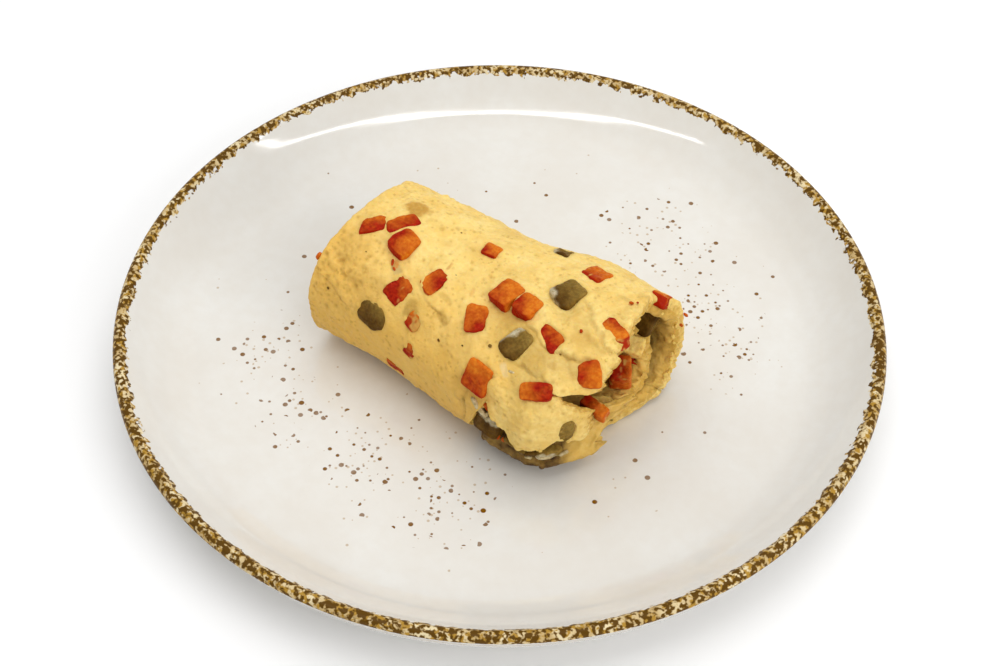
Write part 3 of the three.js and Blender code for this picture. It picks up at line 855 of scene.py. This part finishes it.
def skinRelief(points, x, side, rough):
    # how far the outer face stands out: slow waves, lumps, grain, folds, pits, then the dice; with it,
    # painted shade in the fold creases and the pits
    waves, (slow, quick) = skin["undulate"], skin["wavePeriods"]
    relief = waves * softNoise(points, slow, 11) + 0.5 * waves * softNoise(points, quick, 12)
    patchy = 0.75 + 0.5 * softNoise(points, skin["patchPeriod"], 15)
    relief = relief + skin["lumps"] * (patchy + rough) * layeredNoise(points, skin["lumpPeriod"], 21, 2)
    grain = skin["grain"] * patchy + skin["tornGrain"] * rough
    relief = relief + grain * layeredNoise(points, skin["grainPeriod"], 31, 2)
    shade = np.zeros(relief.shape)
    for fold in folds:
        step, crease = foldRelief(points, x, side, fold)
        relief, shade = relief + step, np.maximum(shade, crease)
    below = (side - straight(lipSag["line"], x)) * skin["arc"]
    sag = ramp(x, lipSag["from"], lipSag["to"]) * ramp(below, -0.5, 2)
    relief = relief - lipSag["drop"] * (sag * (1 - ramp(below, 12, lipSag["reach"])))
    random = np.random.default_rng(5)
    left, rest = skin["leftPits"], skin["pits"] - skin["leftPits"]
    surface = rollPoint(x, side, 0)
    pitX = np.concatenate([random.uniform(-50, -33, left), random.uniform(-51, 56, rest)])
    pitSide = np.concatenate([random.uniform(108, 168, left), random.uniform(15, 215, rest)])
    pitSize = random.uniform(0.28, 0.7, skin["pits"])
    pitSize = pitSize * np.where(random.random(skin["pits"]) < 0.12, 1.7, 1)      # a few wider ones
    for at, angle, size in zip(pitX, pitSide, pitSize):
        near = (np.abs(x - at) < 2.2) & (np.abs(side - angle) < 7)
        dent = np.exp(-((surface[near] - rollPoint(at, angle, 0)) ** 2).sum(axis=-1) / size ** 2)
        relief[near] -= skin["pitDepth"] * size * dent
        shade[near] = np.maximum(shade[near], 0.8 * dent)
    relief, stain = eggRoundDice(points, relief)
    return relief, shade, stain


def tornOutline(wound, share, offset, torn):
    # place along X: the torn end wanders by noise, and the tear draws the flap's end back
    rim = np.stack([wound * sheet["arc"], 0 * wound, 0 * wound], axis=-1)
    ragged = sheet["ragged"] * (0.3 + 0.7 * ramp(wound, 91, 94)) * layeredNoise(rim, 4.2, 61, 3)
    ends = straight(tornEnd, wound) + ragged
    x = roll["start"] + (ends - roll["start"]) * share + offset
    if torn:
        drawn = np.where(wound < tear["high"] + 1, straight(tear["flap"], wound), 0)
        x = x + drawn * np.clip((x - tear["from"]) / (ends - tear["from"]), 0, 1) ** 2
        ends = ends + drawn
    return x, ends


def sheetSurface(rows, columns, outer, torn):
    # one face of the wound slab on a grid of share along the roll and degrees wound
    share, offset, rowDeep = (values[:, None] for values in rows)
    wound, columnDeep = (values[None, :] for values in columns)
    shallow = np.maximum(rowDeep, columnDeep)
    x, ends = tornOutline(wound, share, offset, torn)
    lift = straight(tornHem, x)
    hemLine = np.stack([x, 0 * x, 0 * x + 0.01 * wound], axis=-1)
    tattered = ramp(x, 17, 22) * sheet["raggedHem"] * layeredNoise(hemLine, 3.6, 71, 3)
    turned = wound + (lift + tattered) * np.maximum(0, 1 - wound / 100)
    if torn:
        lip = straight(tear["sag"], x) - 1.6 * layeredNoise(hemLine, 2.8, 75, 2) * ramp(x, 48, 50)
        turned = turned - np.where(wound > tear["low"], lip * hump(wound, 91, tear["reach"]), 0)
    side = sheet["freeEdge"] - turned
    through = shallow if outer else 1 - shallow
    x = x - tornSlant["amount"] * hump(wound, tornSlant["middle"], tornSlant["reach"]) * share * through
    depth = woundDepth(turned, x)
    base = rollPoint(x, side, depth)
    toTorn = 1 - ramp(ends - x, 1, 9)
    toHem = (1 - ramp(wound, 2, 14)) * ramp(x, 17, 22)
    rough = np.maximum(0.45 * ramp(x, -5, 45), 0.5 * ramp(-x, 20, 42))
    rough = np.maximum(np.maximum(toTorn, toHem), rough)
    weight = 1 - shallow / sheet["meet"]
    # holes: dents in the rough faces, also drawn as painted shade
    holes = ramp(layeredNoise(base, sheet["holePeriod"], 87, 2), 0.22, 0.65) * rough
    slow, quick = sheet["lumpPeriods"]
    inward = 0.5 * layeredNoise(base, slow, 81, 2) + (0.25 + 0.4 * rough) * layeredNoise(base, quick, 83, 2)
    inward = inward - sheet["hole"] * holes
    skinned = (turned < skin["turned"]) * 1.0
    if outer:
        relief, shade, stain = skinRelief(base, x, side, rough)
        out = relief * skinned + inward * (1 - skinned)
        shade, stain = shade * skinned + holes * (1 - skinned), stain * skinned
    else:
        out, shade, stain = -inward, holes, 0 * side
    within = base + 3 * through[..., None]
    slow, quick = sheet["crumblePeriods"]
    ragged = layeredNoise(within, slow, 91, 2) + 0.5 * layeredNoise(within, quick, 93, 2)
    crumble = (0.35 + 0.45 * ramp(wound, 91, 97)) * ragged * ramp(shallow, 0.02, 0.3)
    points = rollPoint(x + crumble * (rowDeep > 0) * np.sign(x), side,
                       depth + sheet["thickness"] * through - out * weight - crumble * (columnDeep > 0))
    # painted shade: the near side, and the top towards the closed end, are marked front and drawn a deeper
    # ochre
    near = ramp(side, 88, 165) * (1 - 0.9 * ramp(x, 26, 38))
    near = near + 0.7 * ramp(-x, 22, 50) * ramp(side, 75, 115)
    marks = {
        "front": np.clip(near, 0, 1) * skinned,
        "torn": np.maximum(ramp(shallow, 0.05, 0.3), 0.35 * rough),
        "inner": np.clip(ramp(turned, 330, 400) + (0 if outer else 1), 0, 1),
        "pitShade": shade, "stain": stain, "juiceAndShade": juiceAndShadeShare(turned, x, ends, outer, base),
    }
    marks = {title: np.broadcast_to(value, side.shape).reshape(-1) for title, value in marks.items()}
    return points, marks, turned


def juiceAndShadeShare(turned, x, ends, outer, points):
    # painted shade with some brown juice: on the second turn below the tear and below the torn hem, and
    # inside the mouth
    below = ramp(x, 43, 47) * hump(turned - 360, 84, 28)
    hem = ramp(x, 18, 24) * (1 - ramp(x, 51, 56)) * ramp(turned, 335, 365) * (1 - ramp(turned, 440, 465))
    hem = hem * (1.2 + 0.5 * softNoise(points, 5, 111))
    deep = ramp(ends - x, 0.6, 4.8) * (ramp(turned, 400, 440) if outer else 1 - 0.7 * ramp(turned, 195, 240))
    return np.clip(np.maximum(np.maximum(below, hem), 0.9 * deep), 0, 1)


def stainColours(points, turned):
    # tint and its share for the things under a thin film
    tint = np.zeros(points.shape)
    share = np.zeros(points.shape[:-1])
    for at, angle, long, wide, turn, colour, amount in stains:
        middle, axes = skinFrame(at, angle, turn)
        local = (points - middle) @ axes.T
        norm = ((np.abs(local[..., 0]) * 2 / long) ** 4 + (np.abs(local[..., 1]) * 2 / wide) ** 4) ** 0.25
        norm = norm + 0.25 * softNoise(points, 1.6, 101)
        here = amount * (1 - ramp(norm, 0.7, 1.25)) * (turned < skin["turned"]) * (np.abs(local[..., 2]) < 5)
        tint = np.where((here > share)[..., None], np.array(linear(colour)[:3]), tint)
        share = np.maximum(share, here)
    return tint.reshape(-1, 3), share.reshape(-1)


def places(rows, columns):
    # how far along each row and column lies, from 0 to 1, for joining the two faces
    share, offset, rowDeep = rows
    wound, columnDeep = columns
    down = lengthAlong(np.stack([share * sheet["long"] + offset, rowDeep * sheet["thickness"]], axis=1))
    across = lengthAlong(np.stack([wound * sheet["arc"], columnDeep * sheet["thickness"]], axis=1))
    return down / down[-1], across / across[-1]


def makeSlab(name, outerRows, innerRows, columns, material, torn=False):
    # an outer and an inner face of the wound sheet, closed all round by strips of triangles
    faces, points, marks, tints, edges, first = [], [], [], [], [], 0
    for rows, outer in ((outerRows, True), (innerRows, False)):
        surface, mark, turned = sheetSurface(rows, columns, outer, torn)
        count = surface.shape[:2]
        quads = gridQuads(*count) + first
        faces.append(quads[:, ::-1] if outer else quads)
        index = np.arange(np.prod(count)).reshape(count) + first
        down, across = places(rows, columns)
        edges.append((index, down, across))
        points.append(surface.reshape(-1, 3))
        marks.append(mark)
        tints.append(stainColours(surface, turned))
        first += np.prod(count)
    (outerIndex, outerDown, outerAcross), (innerIndex, innerDown, innerAcross) = edges
    strips = [
        zipTriangles(outerIndex[0], outerAcross, innerIndex[0], innerAcross),
        zipTriangles(outerIndex[-1], outerAcross, innerIndex[-1], innerAcross)[:, ::-1],
        zipTriangles(outerIndex[:, 0], outerDown, innerIndex[:, 0], innerDown)[:, ::-1],
        zipTriangles(outerIndex[:, -1], outerDown, innerIndex[:, -1], innerDown),
    ]
    attributes = {title: np.concatenate([mark[title] for mark in marks]) for title in marks[0]}
    attributes["tint"] = np.concatenate([tint for tint, _ in tints])
    attributes["tintShare"] = np.concatenate([share for _, share in tints])
    return makePiece(name, np.concatenate(points), [*faces, *strips], material, attributes)


def makeEgg():
    material, tree, shader, place = newMaterial(
        "setEgg", Roughness=0.6, IOR=1.4, Subsurface_Weight=0.15, Subsurface_Scale=0.003,
        Subsurface_Radius=(1.0, 0.5, 0.12), Specular_IOR_Level=0.3)
    broad = mottled(tree, place, 0.011)
    fine = mottled(tree, place, 0.0016)
    cloudy = mottled(tree, place, 0.009, 4.0, 0.5, 0.68)
    body = mixColours(tree, broad, "F5D989", "F0CC75")
    body = tinted(tree, body, fine, 0.35, "E7BC5A")
    body = tinted(tree, body, cloudy, 0.5, "D9B25C")
    # painted shade: a deeper ochre over the near side and the top towards the closed end
    body = tinted(tree, body, readAttribute(tree, "front"), 0.75, "E6B452")
    body = tinted(tree, body, readAttribute(tree, "inner"), 0.6, "D2A23E")
    body = tinted(tree, body, multiply(tree, readAttribute(tree, "torn"), fine), 0.6, "C4973A")
    # painted shade in the recesses under the tear, under the torn hem and inside the mouth, with some brown
    # juice: dark brown
    juiceAndShade = spread(tree, mottled(tree, place, 0.0035, 3.0, 0.3, 0.6), 0, 1, 0.7, 1.0)
    juiceAndShade = multiply(tree, readAttribute(tree, "juiceAndShade"), juiceAndShade)
    body = mixColours(tree, juiceAndShade, body, mixColours(tree, fine, "5A3A10", "361F06"))
    # painted shade, a darker brown, in the pits, the pores and the fold creases
    pits = useGroup(tree, pores, place, Spacing=0.0017, Radius=0.48)
    pits = multiply(tree, pits, spread(tree, broad, 0, 1, 0.3, 1.1))
    hollowShade = calculate(tree, "MAXIMUM", readAttribute(tree, "pitShade"), multiply(tree, pits, 0.6))
    body = tinted(tree, body, hollowShade, 0.62, "AE8430")
    body = tinted(tree, body, readAttribute(tree, "stain"), 0.8, "B8913E")
    uneven = spread(tree, mottled(tree, place, 0.0012, 2.0, 0.2, 0.6), 0, 1, 0.7, 1.0)
    share = multiply(tree, readAttribute(tree, "tintShare"), uneven)
    body = mixColours(tree, share, body, readAttribute(tree, "tint", "Color"))
    height = calculate(tree, "SUBTRACT", fine, multiply(tree, pits, 1.2))
    dress(tree, shader, body, (fine, 0.5, 0.7), height, 0.0002, 0.7)
    return material


egg = makeEgg()
outerRows = lengthRows([(sheet["long"], skin["fine"])])
innerRows = lengthRows([(75, skin["coarse"]), (sheet["long"], skin["middle"])])
skinColumns = windingColumns([
    (0, 34, 0.6), (34, tear["low"], skin["fine"]), (tear["low"], tear["high"], 0.03),
    (tear["high"], 208, skin["fine"]), (208, sheet["split"], 1.0)], "first")
eggSkin = makeSlab("egg_skin", outerRows, innerRows, skinColumns, egg, torn=True)
coreRows = lengthRows([(60, skin["coarse"]), (sheet["long"], 0.6)])
coreColumns = windingColumns([
    (sheet["split"], 400, 1.0), (400, 560, 0.6), (560, sheet["turned"], 0.8)], "last")
eggCore = makeSlab("egg_core", coreRows, coreRows, coreColumns, egg)
for piece in (eggSkin, eggCore):
    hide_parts("egg_sheet")
    print("egg made:", piece.name, len(piece.data.vertices), "points", len(piece.data.polygons), "faces")

# the dice

dieCut = {
    "around": 80, "down": 41,      # grid of a die
    "uneven": 0.12, "full": 1.07,  # how far corners draw in, and the growth that makes up for it
    "coarsePeriod": 3.1, "finePeriod": 1.1, "filmPeriod": 2.4, "tonePeriod": 4,
}

# corner powers around and down, and the heights of the coarse and the fine roughness
softCut = (6.5, 6.5, 0.4, 0.12)
cuts = {"carrot": (9, 10, 0.34, 0.07), "mushroom": softCut, "egg_chunk": softCut}


def ring(power, count, span):
    # points evenly spaced along a superellipse |x|^n + |y|^n = 1, between the angles of span
    trial = np.radians(np.linspace(*span, 4000))
    line = np.stack([bulge(np.cos(trial), 2 / power), bulge(np.sin(trial), 2 / power)], axis=1)
    length = lengthAlong(line)
    even = np.linspace(0, length[-1], count)
    return np.stack([np.interp(even, length, line[:, k]) for k in (0, 1)], axis=1)


def makeDie(die, material):
    # superellipse ring carried along a superellipse from the bottom middle to the top middle,
    # bent to eight uneven corners, then roughened
    shape, size, seed = die["shape"], np.array(die["size"], float), 200 + die["number"]
    square, upright, coarse, grit = cuts[die["kind"]]
    power = square if shape["power"] == plainShape["power"] else shape["power"]
    down = ring(upright, dieCut["down"], (-90, 90))
    unit = carryRing(down[:, 0], down[:, 1], ring(power, dieCut["around"] + 1, (0, 360))[:-1])
    local = np.zeros(unit.shape)
    for corner in range(8):
        signs = np.array([1 if corner & bit else -1 for bit in (1, 2, 4)])
        shift = 0.5 + 0.5 * np.sin(12.9 * die["number"] + 7.3 * corner + 4.1 * np.arange(3))
        weight = np.prod((1 + unit * signs) / 2, axis=-1)[..., None]
        local += weight * signs * size / 2 * (1 - dieCut["uneven"] * shift)
    local *= dieCut["full"]
    local[..., 0], local[..., 1] = bendOutline(local[..., 0], local[..., 1], shape, size[0] / 2)
    rough = coarse * layeredNoise(local, dieCut["coarsePeriod"], seed, 2)
    rough = rough + grit * layeredNoise(local, dieCut["finePeriod"], seed + 3, 2)
    normal = unit ** 5
    normal /= np.linalg.norm(normal, axis=-1, keepdims=True) + 1e-9
    local = local + normal * rough[..., None]
    wander = layeredNoise(local, dieCut["filmPeriod"], seed + 9, 2)
    film = ramp(wander, 0.9 - 2.2 * die["film"], 1.3 - 1.9 * die["film"]) * (die["film"] > 0.01)
    pale = np.zeros(wander.shape)
    if die["name"] in paleSides:
        toward = unitLength(np.array(paleSides[die["name"]]))
        pale = ramp(unit @ toward + 0.2 * wander, 0.66, 0.95)
    # painted shade: the near lower sides of the dice in the skin, and the undersides of loose dice, marked
    # beside
    near = ramp(-normal[..., 1] - 0.4 * normal[..., 0], 0.1, 0.7)
    down = -normal[..., 2]
    lower = near * ramp(down, -0.85, -0.4) if die["inSkin"] else 0.3 * ramp(down, -0.8, 0.5)
    # painted shade: tone rises towards the die's shaded side, on top of its own tone and the random tone
    paintedShadeSide = np.clip(1.7 * unit @ np.array(paintedShadeSides.get(die["name"], plainPaintedShadeSide)), -1, 1)
    tone = die["tone"] + 0.45 * paintedShadeSide + 0.25 * layeredNoise(local, dieCut["tonePeriod"], seed + 5, 2)
    marks = {
        "tone": np.clip(tone, 0, 1), "beside": lower * (1 - pale), "film": np.clip(film, 0, 1), "pale": pale,
    }
    marks = {title: value.reshape(-1) for title, value in marks.items()}
    quads = gridQuads(*unit.shape[:2], wrap=True)
    return makePiece(die["name"] + "_cut", die["middle"] + local @ die["axes"], [quads], material, marks)


def makeCarrot():
    material, tree, shader, place = newMaterial(
        "cookedCarrot", Roughness=0.5, IOR=1.4, Subsurface_Weight=0.12, Subsurface_Scale=0.002,
        Subsurface_Radius=(1.0, 0.3, 0.06), Specular_IOR_Level=0.12)
    fine = mottled(tree, place, 0.0011)
    broad = mottled(tree, place, 0.0045, 2.0)
    light = mixColours(tree, fine, "DA7E20", "CC6412")
    deep = mixColours(tree, fine, "AE2404", "8C1202")
    # tone: the die's own tone with painted shade towards its shaded side, deeper red as it rises
    share = wandered(tree, readAttribute(tree, "tone"), broad, 0.4, clamp=True)
    body = mixColours(tree, share, light, deep)
    # painted shade on the near lower sides: deep red
    body = tinted(tree, body, readAttribute(tree, "beside"), 0.92, "A41A04")
    body = tinted(tree, body, readAttribute(tree, "film"), 0.8, "CDA050")
    dress(tree, shader, body, (fine, 0.4, 0.62), fine, 0.00015, 0.6)
    return material


def makeMushroom():
    material, tree, shader, place = newMaterial(
        "cookedMushroom", Roughness=0.55, IOR=1.4, Subsurface_Weight=0.08, Subsurface_Scale=0.002,
        Specular_IOR_Level=0.12)
    fine = mottled(tree, place, 0.001)
    broad = mottled(tree, place, 0.004)
    body = mixColours(tree, broad, "70501A", "4C3008")
    # tone: the die's own tone with painted shade towards its shaded side, darker as it rises
    body = mixColours(tree, readAttribute(tree, "tone"), "9A7C38", body)
    body = tinted(tree, body, fine, 0.35, "452C08")
    pale = mixColours(tree, fine, "C9BC9E", "A39268")
    body = mixColours(tree, readAttribute(tree, "pale"), body, pale)
    # painted shade on the near lower sides: dark brown
    body = tinted(tree, body, readAttribute(tree, "beside"), 0.5, "4E3408")
    body = tinted(tree, body, readAttribute(tree, "film"), 0.75, "C09A48")
    dress(tree, shader, body, (broad, 0.45, 0.65), fine, 0.0002, 0.7)
    return material


def makePlain(name, period, light, dark, **constant):
    # two colours mottled: egg without the sheet's marks, and pale mushroom skin
    material, tree, shader, place = newMaterial(name, IOR=1.4, **constant)
    fine = mottled(tree, place, period)
    dress(tree, shader, mixColours(tree, fine, light, dark), None, fine, 0.0002, 0.7)
    return material


looseEgg = makePlain(
    "looseEgg", 0.0014, "F3CF74", "DDB256", Roughness=0.55, Subsurface_Weight=0.25, Subsurface_Scale=0.003,
    Subsurface_Radius=(1.0, 0.55, 0.15))
looks = {"carrot": makeCarrot(), "mushroom": makeMushroom(), "egg_chunk": looseEgg}
for die in dice:
    piece = makeDie(die, looks[die["kind"]])
    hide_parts(die["name"])
print("dice made:", len(dice))

# loose bits lying on the skin: x, side, lift, long, wide, high, turn
bits = {
    "around": 16, "up": 11, "rough": 0.3, "period": 1.5,
    "box": 2.6,                    # 2 is a ball, more is squarer
    "carrot_crumbs": [
        (33, 189.5, -1.2, 3.2, 2, 1.6, 20), (35.6, 192, -1.6, 2, 1.6, 1.2, 70),
        (53.4, 197, -2.2, 3, 1.8, 2, 60), (40.6, 114, 0.1, 1.3, 1, 0.8, 0), (47, 109.5, 0, 1, 0.8, 0.7, 40),
        (44, 97.5, 0.1, 1.5, 1, 0.8, 60), (-52.2, 137, 0, 1.4, 3, 1.4, 0), (57.6, 14, 0, 2.4, 1.2, 1.2, 0),
        (27, 176, -0.2, 1.2, 1, 0.8, 0), (-27.4, 116.5, 0.05, 2.6, 1, 0.7, 60),
        (-25.6, 119.5, 0, 1.8, 0.9, 0.6, 30), (49, 71.5, 0, 1.4, 0.8, 0.7, 0),
        (50.5, 69.5, 0, 1, 0.8, 0.6, 30), (47.5, 150.5, -4.5, 2, 1.6, 1.4, 10),
        (52, 158, -5, 1.6, 1.4, 1.2, 40), (57.2, 6, -2, 1.2, 1, 1, 0), (56.5, -10, -3, 1.1, 0.9, 0.9, 0),
        (28.4, 170, -1.6, 3.6, 2, 2, 70),
    ],
    "dark_flecks": [
        (-44, 156, 0, 0.9, 0.7, 0.4, 20), (-17, 79, 0, 1, 0.7, 0.4, 0), (3, 145, 0, 1.1, 0.8, 0.4, 40),
        (21, 130, 0, 1.2, 0.9, 0.4, 0), (-11, 94, 0, 0.7, 0.5, 0.3, 30), (44, 114, 0, 0.8, 0.6, 0.3, 0),
        (28.6, 97.6, 0.1, 5, 2, 1.2, 4), (-38, 118, 0, 0.6, 0.5, 0.3, 0), (12, 139, 0, 0.7, 0.5, 0.3, 0),
        (24.5, 178, -1.4, 4.6, 2.6, 2, 10), (38, 191, -2, 5, 2.4, 2, 0), (47, 196, -2.4, 6, 2, 2, 0),
        (-6, 102, 0, 0.6, 0.4, 0.3, 0), (8, 92, 0, 0.6, 0.4, 0.3, 0), (27, 141, 0, 0.7, 0.5, 0.3, 60),
    ],
    "pale_shreds": [
        (25.6, 173, -0.3, 7.5, 1.8, 1.6, 34), (28.8, 177.5, -1, 4, 1.4, 1.4, -50),
        (22.6, 178, -0.6, 2.4, 2.6, 1.2, 0), (50.5, 201, -1.2, 5, 1.4, 1.2, 8),
        (54.5, 199, -1, 3.2, 1.2, 1.2, -20), (45.8, 203, -1.4, 2.8, 1.6, 1.2, 0),
        (29.5, 139.5, 0, 3.2, 0.8, 0.5, 30), (33, 137, 0, 2.6, 0.8, 0.5, -10),
        (36, 139, 0, 1.6, 0.7, 0.5, 0),
    ],
}


def curd(random, at, side, lift, largest):
    # one curd's row, its size and then its turn drawn from random
    size = random.uniform(0.7, largest) * random.uniform(0.8, 1.3, 3)
    return at, side, lift, *size, random.uniform(0, 90)


def listCurds():
    # egg curds along the torn hem and the torn end, from seeded random numbers
    random, rows = np.random.default_rng(17), []
    for at in random.uniform(19.5, 56, 34):
        side = sheet["freeEdge"] - float(straight(tornHem, at)) - random.uniform(-1, 3)
        rows.append(curd(random, at, side, random.uniform(-3, -0.6), 1.5))
    for wound in random.uniform(98, 300, 60):
        end = float(straight(tornEnd, wound)) - random.uniform(0.8, 2)
        rows.append(curd(random, end, sheet["freeEdge"] - wound, -random.uniform(1, 6.4), 1.4))
    return rows


def makeBits(name, rows, material, seed):
    # superellipsoid grids, roughened by noise, joined into one mesh
    turn = np.radians(np.linspace(0, 360, bits["around"] + 1)[:-1])
    lean = np.radians(np.linspace(-90, 90, bits["up"]))
    power = 2 / bits["box"]
    around = np.stack([bulge(np.cos(turn), power), bulge(np.sin(turn), power)], axis=1)
    unit = carryRing(np.abs(np.cos(lean)) ** power, bulge(np.sin(lean), power), around)
    each = unit.shape[0] * unit.shape[1]
    points, faces = [], []
    for number, (at, side, lift, long, wide, high, angle) in enumerate(rows):
        middle, axes = skinFrame(at, side, angle)
        local = unit * np.array([long, wide, high]) / 2
        rough = layeredNoise(local + 9.7 * number, bits["period"], seed, 2)
        local = local * (1 + bits["rough"] * rough)[..., None]
        points.append((middle + axes[2] * lift + local @ axes).reshape(-1, 3))
        faces.append(gridQuads(*unit.shape[:2], wrap=True) + number * each)
    marks = {title: np.zeros(each * len(rows)) for title in ("beside", "film", "pale")}
    marks["tone"] = 0.3 + 0.6 * np.repeat(np.random.default_rng(seed).random(len(rows)), each)
    return makePiece(name, np.concatenate(points), faces, material, marks)


makeBits("carrot_crumbs", bits["carrot_crumbs"], looks["carrot"], 301)
makeBits("dark_flecks", bits["dark_flecks"], looks["mushroom"], 302)
shred = makePlain("paleShred", 0.0012, "D8C69A", "A8905C", Roughness=0.6)
makeBits("pale_shreds", bits["pale_shreds"], shred, 303)
makeBits("egg_curds", listCurds(), looseEgg, 304)
print("crumbs made")

# the table, lights and camera

studio = {
    "distance": 725.4, "azimuth": 38.2, "elevation": 48.08, "roll": 0.01332,
    "target": (-6.75, 8.60, 0), "lens": 72,
    "world": 0.51, "key": 10.1, "side": 5.5, "strip": 5.0,
}


def makeFloor():
    material, tree, shader, place = newMaterial("paleTable", Roughness=0.9)
    grain = mottled(tree, place, 0.4, 2.0)
    body = mixColours(tree, grain, (0.96, 0.96, 0.96, 1), (0.94, 0.94, 0.94, 1))
    tree.links.new(body, shader.inputs["Base Color"])
    reach = 6000.0
    points = np.array([[-reach, -reach, 0], [reach, -reach, 0], [reach, reach, 0], [-reach, reach, 0]])
    mesh = bpy.data.meshes.new("table_top")
    mesh.from_pydata(points * metre, [], [[0, 1, 2, 3]])
    mesh.materials.append(material)
    floor = bpy.data.objects.new("table_top", mesh)
    bpy.context.scene.collection.objects.link(floor)


def makeCamera():
    azimuth, elevation = np.radians(studio["azimuth"]), np.radians(studio["elevation"])
    right = np.array([np.cos(azimuth), np.sin(azimuth), 0])
    level = np.array([np.sin(azimuth), -np.cos(azimuth), 0])
    back = level * np.cos(elevation) + np.array([0, 0, np.sin(elevation)])
    up = np.cross(back, right)
    cos, sin = np.cos(studio["roll"]), np.sin(studio["roll"])
    axes = np.stack([cos * right + sin * up, -sin * right + cos * up, back], axis=1)
    camera = bpy.data.cameras.new("camera")
    camera.lens, camera.sensor_width = studio["lens"], 36
    camera.clip_start, camera.clip_end = 0.01, 50
    holder = bpy.data.objects.new("camera", camera)
    pose = Matrix(axes.tolist()).to_4x4()
    pose.translation = ((np.array(studio["target"]) + back * studio["distance"]) * metre).tolist()
    holder.matrix_world = pose
    bpy.context.scene.collection.objects.link(holder)
    bpy.context.scene.camera = holder


def addSoftbox(name, place, size, energy, turn=None):
    # an area lamp facing the origin, or straight down with its long side turned
    lamp = bpy.data.lights.new(name, "AREA")
    lamp.shape, lamp.size, lamp.size_y, lamp.energy = "RECTANGLE", size[0], size[1], energy
    holder = bpy.data.objects.new(name, lamp)
    bpy.context.scene.collection.objects.link(holder)
    holder.location = place
    down = Vector([-value for value in place]).to_track_quat("-Z", "Y").to_euler()
    holder.rotation_euler = down if turn is None else (0, 0, np.radians(turn))
    return holder


makeFloor()
makeCamera()
key = addSoftbox("key_softbox", (-0.24, 0.2, 1.1), (1.5, 1.5), studio["key"])
key.visible_glossy = False
side = addSoftbox("side_softbox", (1.0, -0.2, 0.6), (1.0, 0.8), studio["side"])
side.visible_glossy = False
strip = addSoftbox("strip_softbox", (0.36, -0.03, 1.0), (2.3, 0.05), studio["strip"], 39.4)
strip.visible_diffuse = False
world = bpy.data.worlds.new("studio")
world.use_nodes = True
world.node_tree.nodes["Background"].inputs["Color"].default_value = (1, 1, 1, 1)
world.node_tree.nodes["Background"].inputs["Strength"].default_value = studio["world"]
bpy.context.scene.world = world
bpy.context.scene.view_settings.view_transform = "Standard"
print("studio made")
